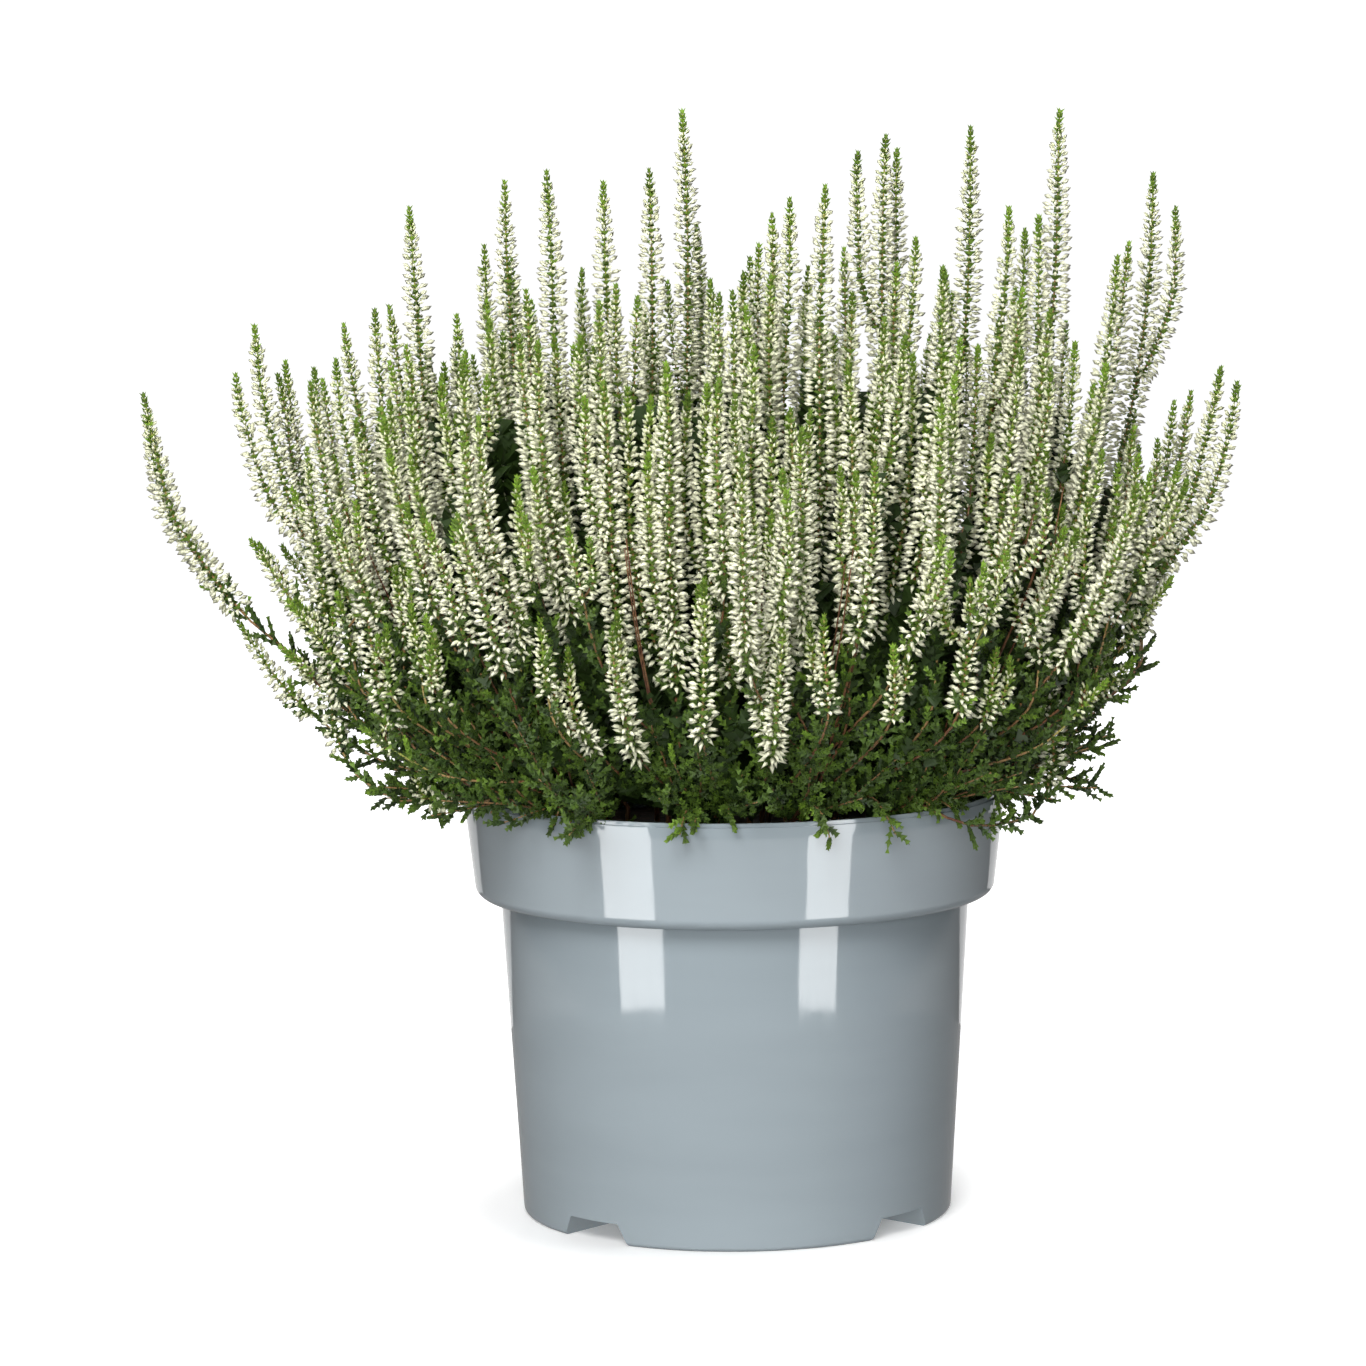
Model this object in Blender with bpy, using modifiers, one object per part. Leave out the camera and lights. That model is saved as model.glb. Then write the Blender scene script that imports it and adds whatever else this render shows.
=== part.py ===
"""A potted heather: a plastic nursery pot, a root ball of peat, leafy stems that stand in it, and the flower
sprays that the stems carry. Metres, +Z up. It is drawn round the pot's axis, and in the end it is moved so
that the origin is on the floor under the middle of the whole."""

import math
import random

import bmesh
import bpy
from mathutils import Vector, kdtree

# The gap between neighbours, the room that a growing shoot keeps, and how far a cutter runs past what it cuts
GAP = 0.0003
ROOM_LEFT = 0.0009
CUT_PAST = 0.01

# The pot
RIM_RADIUS = 0.1150
POT_HEIGHT = 0.1815
WALL = 0.0016
COLLAR_BOTTOM_Z = 0.1368
COLLAR_FOOT_RADIUS = 0.1106
BODY_TOP_RADIUS = 0.0996
BASE_RADIUS = 0.0915
BASE_FILLET = 0.0020
COLLAR_CORNER = 0.0040
COLLAR_ROUNDING = 0.3
LIP = 0.0006
FLOOR = 0.0020
POT_SEGMENTS = 36

# The crossed channels under the base, which leave four feet and a notch in the wall between each two
CHANNEL_TURN = math.radians(4.0)
CHANNEL_HEIGHT = 0.0090
CHANNEL_HALF_FOOT = 0.0176
CHANNEL_HALF_ROOF = 0.0131
DRAIN_RADIUS = 0.0045
DRAIN_RING_RADIUS = 0.062
DRAIN_SIDES = 10

# The root ball. Its facets are coarser than the pot's, so it keeps that much clearer of the wall.
SOIL_TOP_Z = 0.1600
SOIL_ROUGHNESS = 0.0040
CRUMB_SIZE = 0.030
SOIL_SEGMENTS = 20
SOIL_TOP_RINGS = 3
FACET_SAG = 0.0004
STEM_DEPTH = 0.0120
STEM_HOLE_RADIUS = 0.00255
STEM_HOLE_SIDES = 5

# The plant. Of every ten shoots seven flower. The others stay leafy, or die back where the bush is too dark.
STEMS = 26
SHOOTS = 186
FLOWERING_OF_TEN = 7
DARK_WITHIN = 0.45
SEED = 7
GOLDEN_ANGLE = math.radians(137.508)
SHOOT_SPACING = 0.112
SETTLING_ROUNDS = 12
GATHERING_ROUNDS = 6

# How far out the bush reaches at each height
BUSH_REACH = (
    (0.170, 0.082), (0.178, 0.092), (0.187, 0.112), (0.195, 0.128), (0.230, 0.160), (0.270, 0.187),
    (0.300, 0.202), (0.350, 0.213), (0.400, 0.220), (0.480, 0.226),
)

# The tips that stand out against the background, as distance from the axis and height, in millimetres
OUTLINE_TIPS_MM = (
    (-246, 352), (-201, 379), (-191, 362), (-172, 359), (-163, 379), (-149, 386), (-135, 428), (-116, 382),
    (-108, 409), (-96, 438), (-76, 443), (-63, 400), (-51, 438), (-34, 443), (-19, 467), (-14, 419),
    (5, 400), (13, 411), (24, 431), (38, 437), (50, 408), (66, 456), (72, 450), (76, 414), (85, 405),
    (103, 459), (113, 427), (128, 414), (136, 466), (144, 376), (159, 406), (169, 410), (182, 438),
    (197, 346), (206, 357),
)
OUTLINE_DEPTH = 0.6

# The flowering shoots
FORK_Z = 0.214
FORK_DROP = 0.022
FORK_STEP = 0.005
SPREAD_HEIGHT = 0.060
FLOWER_RADIUS_LOW = 0.0085
FLOWER_RADIUS_TOP = 0.0064
FLOWER_LENGTH = 0.135
FLOWERS_ABOVE_FORK = 0.004
FLOWERS_FULL_AT = 0.026
FLORET_PITCH = 0.0175
FLORET_UNEVEN = 0.15
BARE_PITCH = 0.028
NECK = 0.75
GREEN_TIP_LENGTH = 0.0150
GREEN_TIP_RADIUS = 0.0027
DOME_Z = 0.405
DOME_FALL = 0.050
DOME_UNEVEN = 0.035
LOW_FROM = 0.72
LOW_FALL = 0.060

# The woody stems and their leafy side shoots
STEM_RADIUS = 0.0018
STEM_PITCH = 0.014
FORK_RADIUS = 0.0013
LEAFY_FROM_Z = (0.172, 0.184)
LEAFY_TOP_Z = (0.216, 0.234)
LEAFY_SPREAD_HEIGHT = 0.034
LEAFY_RADIUS = 0.0055
LEAFY_PITCH = 0.0130
TWIG_UNEVEN = 0.3
LEAST_RADIUS = 0.0012

# The shoots that hang over the rim, from the stems furthest out. Their rise and end are taken from the rim.
TRAILING_BEYOND = 0.62
TRAILING_FROM_Z = 0.185
TRAILING_SWING = (math.radians(2.0), math.radians(10.0))
TRAILING_CREST_RADIUS = 0.112
TRAILING_RISE = 0.011
TRAILING_OUT = (0.121, 0.135)
TRAILING_END = (-0.010, 0.006)
TRAILING_RADIUS = 0.0042

# The balls that mark the rim, for the shoots to keep clear of
RIM_BALLS = 240
RIM_BALL_RADIUS = 0.0016
RIM_BALL_DEPTHS = (0.001, 0.004, 0.008)


def empty_scene():
    for obj in list(bpy.data.objects):
        bpy.data.objects.remove(obj)


def new_collection(name):
    made = bpy.data.collections.new(name)
    bpy.context.scene.collection.children.link(made)
    return made


def new_material(name, colour, roughness):
    made = bpy.data.materials.new(name)
    made.use_nodes = True
    shader = made.node_tree.nodes["Principled BSDF"]
    shader.inputs["Base Color"].default_value = (*colour, 1.0)
    shader.inputs["Roughness"].default_value = roughness
    shader.inputs["Metallic"].default_value = 0.0
    return made


def new_object(name, mesh, collection, material=None):
    made = bpy.data.objects.new(name, mesh)
    collection.objects.link(made)
    if material:
        mesh.materials.append(material)
    return made


def move_to(obj, collection):
    for found in list(obj.users_collection):
        found.objects.unlink(obj)
    collection.objects.link(obj)


def hide_from_render(obj):
    obj.hide_render = True
    obj.display_type = "WIRE"
    return obj


def turned(name, profile, segments, collection, material=None):
    """A profile of (radius, height) points turned about Z. It runs out along the top and down the outside."""
    mesh = bpy.data.meshes.new(name)
    points = [(radius, 0.0, height) for radius, height in profile]
    mesh.from_pydata(points, [(i, i + 1) for i in range(len(points) - 1)], [])
    made = new_object(name, mesh, collection, material)
    screw = made.modifiers.new("turn", "SCREW")
    screw.axis = "Z"
    screw.steps = segments
    screw.render_steps = segments
    screw.use_merge_vertices = True
    screw.merge_threshold = 0.00001
    screw.use_smooth_shade = True
    return made


def add_boolean(obj, operation, operand, solver="EXACT"):
    cut = obj.modifiers.new(operation.lower(), "BOOLEAN")
    cut.operation = operation
    cut.solver = solver
    if isinstance(operand, bpy.types.Collection):
        cut.operand_type = "COLLECTION"
        cut.collection = operand
    else:
        cut.object = operand
    return cut


def between(points, at):
    """Reads a value from (place, value) points, joined by straight lines."""
    for (start, low), (end, high) in zip(points, points[1:]):
        if at <= end:
            return low + (high - low) * max(0.0, at - start) / (end - start)
    return points[-1][1]


def smooth(share):
    share = min(1.0, max(0.0, share))
    return share * share * (3.0 - 2.0 * share)


# The pot


def outer_profile():
    """The outside, from the middle of the top down to the middle of the base."""
    rounding = COLLAR_ROUNDING * COLLAR_CORNER
    return [
        (0.0, POT_HEIGHT),
        (RIM_RADIUS - LIP, POT_HEIGHT),
        (RIM_RADIUS, POT_HEIGHT - LIP),
        (COLLAR_FOOT_RADIUS, COLLAR_BOTTOM_Z + COLLAR_CORNER),
        (COLLAR_FOOT_RADIUS - rounding, COLLAR_BOTTOM_Z + rounding),
        (COLLAR_FOOT_RADIUS - COLLAR_CORNER, COLLAR_BOTTOM_Z),
        (BODY_TOP_RADIUS, COLLAR_BOTTOM_Z),
        (BASE_RADIUS, BASE_FILLET),
        (BASE_RADIUS - BASE_FILLET, 0.0),
        (0.0, 0.0),
    ]


def inner_profile():
    """The hollow inside the pot, taken up past the rim so that it cuts the top open."""
    collar_foot = COLLAR_FOOT_RADIUS - WALL
    shoulder = COLLAR_BOTTOM_Z + WALL
    mouth = RIM_RADIUS - WALL
    return [
        (0.0, POT_HEIGHT + CUT_PAST),
        (mouth, POT_HEIGHT + CUT_PAST),
        (mouth, POT_HEIGHT - LIP),
        (collar_foot, shoulder + COLLAR_CORNER),
        (collar_foot - COLLAR_CORNER, shoulder),
        (BODY_TOP_RADIUS - WALL, shoulder),
        (BASE_RADIUS - WALL, FLOOR + BASE_FILLET),
        (BASE_RADIUS - WALL - BASE_FILLET, FLOOR),
        (0.0, FLOOR),
    ]


def channel_cross(name, collection, spread):
    """The crossed channels as one solid. spread widens and raises it, for the wall round the hollow."""
    slope = (CHANNEL_HALF_FOOT - CHANNEL_HALF_ROOF) / CHANNEL_HEIGHT
    top = CHANNEL_HEIGHT + spread
    bottom = -CUT_PAST
    half_length = BASE_RADIUS + CUT_PAST
    bars = []
    for number in range(2):
        bpy.ops.mesh.primitive_cube_add(size=2.0, location=(0.0, 0.0, 0.0))
        bar = hide_from_render(bpy.context.object)
        move_to(bar, collection)
        bar.name = f"{name}_{number}"
        bar.rotation_euler.z = CHANNEL_TURN + math.radians(45.0 + 90.0 * number)
        for vertex in bar.data.vertices:
            height = top if vertex.co.z > 0.0 else bottom
            half_width = CHANNEL_HALF_FOOT + spread - slope * height
            vertex.co = (vertex.co.x * half_length, vertex.co.y * half_width, height)
        bars.append(bar)
    add_boolean(bars[0], "UNION", bars[1])
    return bars[0]


def upright_hole(collection, x, y, radius, bottom, top, sides):
    """A cutter for a round hole."""
    bpy.ops.mesh.primitive_cylinder_add(
        vertices=sides, radius=radius, depth=top - bottom, location=(x, y, 0.5 * (bottom + top))
    )
    hole = hide_from_render(bpy.context.object)
    move_to(hole, collection)
    return hole


def drain_holes():
    """One round hole in the middle of the crossed channels and one near the end of each."""
    holes = new_collection("drain_holes")
    top = CHANNEL_HEIGHT + CUT_PAST
    upright_hole(holes, 0.0, 0.0, DRAIN_RADIUS, 0.0, top, DRAIN_SIDES)
    for number in range(4):
        angle = CHANNEL_TURN + math.radians(45.0 + 90.0 * number)
        x = DRAIN_RING_RADIUS * math.cos(angle)
        y = DRAIN_RING_RADIUS * math.sin(angle)
        upright_hole(holes, x, y, DRAIN_RADIUS, 0.0, top, DRAIN_SIDES)
    return holes


def build_pot(collection, cutters):
    plastic = new_material("grey_plastic", (0.36, 0.41, 0.45), 0.25)
    pot = turned("pot", outer_profile(), POT_SEGMENTS, collection, plastic)
    inside = hide_from_render(turned("pot_inside", inner_profile(), POT_SEGMENTS, cutters))
    add_boolean(inside, "DIFFERENCE", channel_cross("channel_wall", cutters, WALL))
    add_boolean(pot, "DIFFERENCE", inside)
    add_boolean(pot, "DIFFERENCE", channel_cross("channel_hollow", cutters, 0.0))
    add_boolean(pot, "DIFFERENCE", drain_holes())
    return pot


# The root ball


def soil_profile():
    """The root ball's top and sides. They follow the pot's inside, a gap clear of it."""
    clear = WALL + GAP + FACET_SAG
    collar = COLLAR_FOOT_RADIUS - clear
    ledge = COLLAR_BOTTOM_Z + WALL + GAP
    top = [(collar * ring / SOIL_TOP_RINGS, SOIL_TOP_Z) for ring in range(SOIL_TOP_RINGS + 1)]
    sides = [
        (collar, ledge + COLLAR_CORNER),
        (collar - COLLAR_CORNER, ledge),
        (BODY_TOP_RADIUS - clear, ledge),
        (BASE_RADIUS - clear, FLOOR + GAP + BASE_FILLET),
        (BASE_RADIUS - clear - BASE_FILLET, FLOOR + GAP),
        (0.0, FLOOR + GAP),
    ]
    return top + sides, len(top)


def build_soil(collection, cutters, stems):
    profile, top_count = soil_profile()
    peat = new_material("peat", (0.035, 0.022, 0.014), 0.95)
    soil = turned("soil", profile, SOIL_SEGMENTS, collection, peat)
    soil.vertex_groups.new(name="top").add(list(range(top_count)), 1.0, "REPLACE")
    crumbs = bpy.data.textures.new("crumbs", "CLOUDS")
    crumbs.noise_scale = CRUMB_SIZE
    rough = soil.modifiers.new("crumbs", "DISPLACE")
    rough.texture = crumbs
    rough.direction = "Z"
    rough.strength = SOIL_ROUGHNESS
    rough.vertex_group = "top"
    add_boolean(soil, "DIFFERENCE", channel_cross("soil_channel", cutters, WALL + GAP))
    holes = new_collection("stem_holes")
    bottom = SOIL_TOP_Z - STEM_DEPTH - GAP
    for stem in stems:
        foot = stem.point(SOIL_TOP_Z)
        upright_hole(holes, foot.x, foot.y, STEM_HOLE_RADIUS, bottom, SOIL_TOP_Z + CUT_PAST, STEM_HOLE_SIDES)
    add_boolean(soil, "DIFFERENCE", holes)
    return soil


# How the plant is laid out


class Stem:
    """A woody stem that stands in the root ball. Its place is in a plan of the bush with a radius of 1."""

    def __init__(self, place):
        self.place = place
        self.spikes = []
        self.leafy = []
        self.fork_z = 0.0

    def point(self, height):
        reach = between(BUSH_REACH, height)
        return Vector((self.place.x * reach, self.place.y * reach, height))

    def lean(self):
        """The stem's direction at its fork, which its two facing ends are cut square to."""
        return (self.point(self.fork_z) - self.point(self.fork_z - STEM_RADIUS)).normalized()


class Shoot:
    """A shoot that leaves its stem at the fork and draws out to a place of its own as it rises."""

    def __init__(self, place):
        self.place = place
        self.stem = None
        self.fork_z = 0.0
        self.tip_z = 0.0
        self.spread_height = SPREAD_HEIGHT
        self.fixed = False

    def point(self, height):
        rise = min(1.0, max(0.0, (height - self.fork_z) / self.spread_height))
        place = self.stem.place.lerp(self.place, 1.0 - (1.0 - rise) ** 2)
        reach = between(BUSH_REACH, height)
        return Vector((place.x * reach, place.y * reach, height))


def even_places(count):
    """Places that fill a disc of radius 1 evenly, along a sunflower's spiral."""
    places = []
    for number in range(count):
        radius = math.sqrt((number + 0.5) / count)
        angle = number * GOLDEN_ANGLE
        places.append(Vector((radius * math.cos(angle), radius * math.sin(angle))))
    return places


def set_outline(spikes):
    """Gives each tip of the outline to the nearest spike in the middle of the bush's depth."""
    free = [spike for spike in spikes if abs(spike.place.y) < OUTLINE_DEPTH]
    for x_mm, z_mm in OUTLINE_TIPS_MM:
        x = x_mm / 1000.0 / between(BUSH_REACH, z_mm / 1000.0)
        nearest = min(free, key=lambda spike: abs(spike.place.x - x) + 0.05 * abs(spike.place.y))
        nearest.place.x = x
        nearest.tip_z = z_mm / 1000.0
        nearest.fixed = True
        free.remove(nearest)


def push_apart(shoots):
    """Moves shoots that stand too close away from each other. Those of the outline only move in depth."""
    for _ in range(SETTLING_ROUNDS):
        for number, one in enumerate(shoots):
            for other in shoots[:number]:
                apart = one.place - other.place
                lack = SHOOT_SPACING - apart.length
                if lack <= 0.0:
                    continue
                push = apart.normalized() * 0.5 * lack
                for shoot, way in ((one, push), (other, -push)):
                    shoot.place.y += way.y
                    if not shoot.fixed:
                        shoot.place.x += way.x
        for shoot in shoots:
            if not shoot.fixed and shoot.place.length > 1.0:
                shoot.place.normalize()


def gather(shoots):
    """Gives each shoot to the nearest stem, and moves each stem to the middle of its shoots."""
    stems = [Stem(place) for place in even_places(STEMS)]
    for _ in range(GATHERING_ROUNDS):
        groups = [[] for _ in stems]
        for shoot in shoots:
            nearest = min(range(STEMS), key=lambda number: (stems[number].place - shoot.place).length)
            groups[nearest].append(shoot)
        for stem, group in zip(stems, groups):
            stem.place = sum((shoot.place for shoot in group), Vector((0.0, 0.0))) / len(group)
    for stem, group in zip(stems, groups):
        for shoot in group:
            shoot.stem = stem
    return stems


def set_heights(spikes, leafy, chance):
    """The free tips fill a dome that falls to its edge, where some are much lower still."""
    for spike in spikes:
        out = min(1.0, spike.place.length)
        edge = max(0.0, out - LOW_FROM) / (1.0 - LOW_FROM)
        dome = DOME_Z - DOME_FALL * out**3
        free_tip = dome - DOME_UNEVEN * chance.random() - LOW_FALL * edge * chance.random()
        if not spike.fixed:
            spike.tip_z = free_tip
    for shoot in leafy:
        shoot.spread_height = LEAFY_SPREAD_HEIGHT
        shoot.fork_z = chance.uniform(*LEAFY_FROM_Z)
        shoot.tip_z = chance.uniform(*LEAFY_TOP_Z)


def set_forks(stem):
    """The spike nearest the middle carries the stem's line on. Those that go furthest out leave it first."""
    stem.spikes.sort(key=lambda spike: (spike.place - stem.place).length)
    stem.place = stem.spikes[0].place.copy()
    stem.fork_z = FORK_Z - FORK_DROP * stem.place.length
    stem.spikes.sort(key=lambda spike: (spike.place - stem.place).length)
    count = len(stem.spikes)
    for number, spike in enumerate(stem.spikes):
        spike.fork_z = stem.fork_z + (FORK_STEP * (count - number) if number else 0.0)


def lay_out():
    chance = random.Random(SEED)
    shoots = [Shoot(place) for place in even_places(SHOOTS)]
    spikes = [shoot for number, shoot in enumerate(shoots) if number % 10 < FLOWERING_OF_TEN]
    leafy = [shoot for shoot in shoots if shoot not in spikes and shoot.place.length > DARK_WITHIN]
    shoots = spikes + leafy
    set_outline(spikes)
    push_apart(shoots)
    stems = gather(shoots)
    set_heights(spikes, leafy, chance)
    for stem in stems:
        stem.spikes = [spike for spike in spikes if spike.stem is stem]
        stem.leafy = [shoot for shoot in leafy if shoot.stem is stem]
        set_forks(stem)
    stems.sort(key=lambda stem: (stem.place.y, stem.place.x))
    return stems


# Room between the nodes


class Room:
    """The balls that each node fills, so that what grows later keeps clear of them."""

    def __init__(self):
        self.balls = []
        self.tree = None

    def fill(self, owner, points, radii):
        self.balls += [(owner, point, radius) for point, radius in zip(points, radii)]
        self.tree = kdtree.KDTree(len(self.balls))
        for number, (_, point, _) in enumerate(self.balls):
            self.tree.insert(point, number)
        self.tree.balance()

    def radius_at(self, owner, point, wanted):
        """The radius at a point, at most the wanted one, that keeps clear of the balls of other nodes."""
        for _, number, distance in self.tree.find_range(point, wanted + 2.0 * FLOWER_RADIUS_LOW):
            other, _, radius = self.balls[number]
            if other != owner:
                wanted = min(wanted, distance - radius - ROOM_LEFT)
        return wanted

    def radii_along(self, owner, points, wanted):
        """The same for each point of a shoot, with the stretches between them looked at too."""
        clear = [self.radius_at(owner, point, radius) for point, radius in zip(points, wanted)]
        for number, (start, end) in enumerate(zip(points, points[1:])):
            for share in (1.0 / 3.0, 2.0 / 3.0):
                most = self.radius_at(owner, start.lerp(end, share), max(wanted[number], wanted[number + 1]))
                clear[number] = min(clear[number], most)
                clear[number + 1] = min(clear[number + 1], most)
        return clear


def fill_between(points, radii, step=0.003):
    """Points and radii along a shoot, no further apart than the step."""
    full_points = []
    full_radii = []
    for (start, low), (end, high) in zip(zip(points, radii), zip(points[1:], radii[1:])):
        count = max(1, math.ceil((end - start).length / step))
        for number in range(count):
            full_points.append(start.lerp(end, number / count))
            full_radii.append(low + (high - low) * number / count)
    return full_points + [points[-1]], full_radii + [radii[-1]]


# Shoots


def shoot_mesh(points, radii, chance, uneven=0.0, tip=None, cut=None):
    """A closed skin over three-cornered rings, each turned half a step from the one before.

    The corners stand out from the shoot as its florets or twigs. It ends in the tip, or in a flat end if there
    is none. The cut is the direction that the flat end faces, or the foot of a shoot with a tip.
    """
    last = tip or points[-1]
    seam = (last - points[0]).orthogonal()
    path = [*points, last]
    cut_ring = 0 if tip else len(points) - 1
    shape = bmesh.new()
    rows = []
    turn = chance.uniform(0.0, math.tau)
    for number, (point, radius) in enumerate(zip(points, radii)):
        along = (path[number + 1] - path[max(0, number - 1)]).normalized()
        if cut and number == cut_ring:
            along = cut
        side = (seam - seam.dot(along) * along).normalized()
        other = along.cross(side)
        row = []
        for corner in range(3):
            angle = turn + math.tau * corner / 3.0
            out = radius * (1.0 - uneven * chance.random())
            row.append(shape.verts.new(point + out * (math.cos(angle) * side + math.sin(angle) * other)))
        rows.append(row)
        turn += math.pi / 3.0
    for low, high in zip(rows, rows[1:]):
        for corner in range(3):
            after = (corner + 1) % 3
            shape.faces.new((low[corner], low[after], high[corner]))
            shape.faces.new((high[corner], low[after], high[after]))
    shape.faces.new(list(reversed(rows[0])))
    if tip is None:
        shape.faces.new(rows[-1])
    else:
        point = shape.verts.new(tip)
        for corner in range(3):
            shape.faces.new((rows[-1][corner], rows[-1][(corner + 1) % 3], point))
    bmesh.ops.recalc_face_normals(shape, faces=shape.faces)
    mesh = bpy.data.meshes.new("shoot")
    shape.to_mesh(mesh)
    shape.free()
    return mesh


def heights_between(low, high, pitch):
    count = max(1, round((high - low) / pitch))
    return [low + (high - low) * number / count for number in range(count + 1)]


def largest_body(mesh):
    """Drops what a union leaves loose or seals in, and keeps the body with the most faces."""
    shape = bmesh.new()
    shape.from_mesh(mesh)
    left = set(shape.faces)
    bodies = []
    while left:
        body = {left.pop()}
        newest = list(body)
        while newest:
            face = newest.pop()
            near = {other for edge in face.edges for other in edge.link_faces} & left
            left -= near
            body |= near
            newest += near
        bodies.append(body)
    bodies.sort(key=len)
    for body in bodies[:-1]:
        bmesh.ops.delete(shape, geom=list(body), context="FACES")
    shape.to_mesh(mesh)
    shape.free()


def joined(name, meshes, collection, material):
    """One node from the first mesh and all the others, by one union."""
    if len(meshes) == 1:
        return new_object(name, meshes[0], collection, material)
    repeats = new_collection(f"{name}_repeats")
    extras = [new_object("repeat", mesh, repeats) for mesh in meshes[1:]]
    base = new_object(name, meshes[0], collection)
    add_boolean(base, "UNION", repeats, "MANIFOLD")
    graph = bpy.context.evaluated_depsgraph_get()
    whole = bpy.data.meshes.new_from_object(base.evaluated_get(graph))
    largest_body(whole)
    base.modifiers.clear()
    base.data = whole
    whole.materials.clear()
    whole.materials.append(material)
    for extra in extras:
        bpy.data.objects.remove(extra)
    bpy.data.collections.remove(repeats)
    return base


# Flower sprays


def nearest_distance(spike, spikes, height):
    """How far the spike stands from the nearest other one that passes through this height."""
    point = spike.point(height)
    passing = [other for other in spikes if other is not spike and other.fork_z <= height <= other.tip_z]
    return min((point - other.point(height)).length for other in passing) if passing else 1.0


def spike_rings(spike, spikes, is_leader):
    """A bare foot, then the whorls of florets, and the neck of the green growing tip."""
    top = spike.tip_z - GREEN_TIP_LENGTH
    flowers_from = max(spike.fork_z + FLOWERS_ABOVE_FORK, top - FLOWER_LENGTH)
    points = [spike.point(spike.fork_z)]
    radii = [FORK_RADIUS]
    if is_leader:
        points[0] += spike.stem.lean() * GAP
    heights = heights_between(spike.fork_z, flowers_from, BARE_PITCH)[1:]
    heights += heights_between(flowers_from, top, FLORET_PITCH)[1:]
    for height in heights:
        share = (height - flowers_from) / (top - flowers_from)
        full = FLOWER_RADIUS_LOW + (FLOWER_RADIUS_TOP - FLOWER_RADIUS_LOW) * share
        full *= smooth((height - flowers_from) / FLOWERS_FULL_AT)
        half_way = 0.5 * nearest_distance(spike, spikes, height) - GAP
        points.append(spike.point(height))
        radii.append(max(FORK_RADIUS, min(full, half_way)))
    radii[-1] *= NECK
    points.append(spike.point(spike.tip_z - 0.5 * GREEN_TIP_LENGTH))
    radii.append(GREEN_TIP_RADIUS)
    return points, radii


def build_spray(name, stem, spikes, collection, material, room, chance):
    meshes = []
    balls = [], []
    for number, spike in enumerate(stem.spikes):
        points, radii = spike_rings(spike, spikes, number == 0)
        tip = spike.point(spike.tip_z)
        foot_faces = None if number else stem.lean()
        meshes.append(shoot_mesh(points, radii, chance, FLORET_UNEVEN, tip, foot_faces))
        full_points, full_radii = fill_between([*points, tip], [*radii, 0.0])
        balls[0].extend(full_points)
        balls[1].extend(full_radii)
    room.fill(name, *balls)
    return joined(name, meshes, collection, material)


# Leafy stems


def stem_rings(stem):
    """Upright in the root ball, then out to the fork."""
    leans_from = BUSH_REACH[0][0]
    heights = [SOIL_TOP_Z - STEM_DEPTH, *heights_between(leans_from, stem.fork_z, STEM_PITCH)]
    points = [stem.point(height) for height in heights]
    return points, [STEM_RADIUS] * len(points)


def leafy_shoot(shoot, name, room):
    """A rising shoot with its side twigs as corners."""
    stem = shoot.stem
    heights = heights_between(shoot.fork_z, shoot.tip_z, LEAFY_PITCH)
    points = [shoot.point(height) for height in heights]
    wanted = [LEAST_RADIUS]
    for point, height in zip(points[1:], heights[1:]):
        beside = 0.5 * nearest_distance(shoot, stem.leafy, height)
        from_stem = (point - stem.point(min(height, stem.fork_z))).length - STEM_RADIUS
        wanted.append(max(LEAST_RADIUS, min(LEAFY_RADIUS, beside, from_stem)))
    wanted[-1] = LEAST_RADIUS
    return up_to_first_block(points, room.radii_along(name, points, wanted))


def up_to_first_block(points, radii):
    """The stretch of a shoot that has room. Its last point is its tip."""
    count = next((number for number, radius in enumerate(radii) if radius < LEAST_RADIUS), len(radii))
    return points[:count], radii[:count]


def trailing_shoot(stem, swing, name, room, chance):
    """From the stem over the rim and down outside it, in an upright plane through the pot's axis."""
    angle = math.atan2(stem.place.y, stem.place.x) + swing
    out = chance.uniform(*TRAILING_OUT)
    end = chance.uniform(*TRAILING_END)
    crest = TRAILING_CREST_RADIUS
    rise = TRAILING_RISE
    path = (
        (crest - 0.7 * rise, 0.9 * rise),
        (crest, rise),
        (0.5 * (crest + out), 0.7 * rise + 0.5 * end),
        (out, end),
    )
    points = [stem.point(TRAILING_FROM_Z)]
    points += [Vector((far * math.cos(angle), far * math.sin(angle), POT_HEIGHT + up)) for far, up in path]
    wanted = [LEAST_RADIUS, 0.6 * TRAILING_RADIUS, 0.8 * TRAILING_RADIUS, TRAILING_RADIUS, LEAST_RADIUS]
    return up_to_first_block(points, room.radii_along(name, points, wanted))


def build_leafy_stem(name, stem, collection, material, room, chance):
    points, radii = stem_rings(stem)
    meshes = [shoot_mesh(points, radii, chance, cut=stem.lean())]
    balls = fill_between(points, radii)
    shoots = [leafy_shoot(shoot, name, room) for shoot in stem.leafy]
    if stem.place.length > TRAILING_BEYOND:
        for way in (-1.0, 1.0):
            swing = way * chance.uniform(*TRAILING_SWING)
            shoots.append(trailing_shoot(stem, swing, name, room, chance))
    for points, radii in shoots:
        if len(points) < 4:
            continue
        meshes.append(shoot_mesh(points[:-1], radii[:-1], chance, TWIG_UNEVEN, points[-1]))
        more = fill_between(points, radii)
        balls[0].extend(more[0])
        balls[1].extend(more[1])
    room.fill(name, *balls)
    return joined(name, meshes, collection, material)


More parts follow.
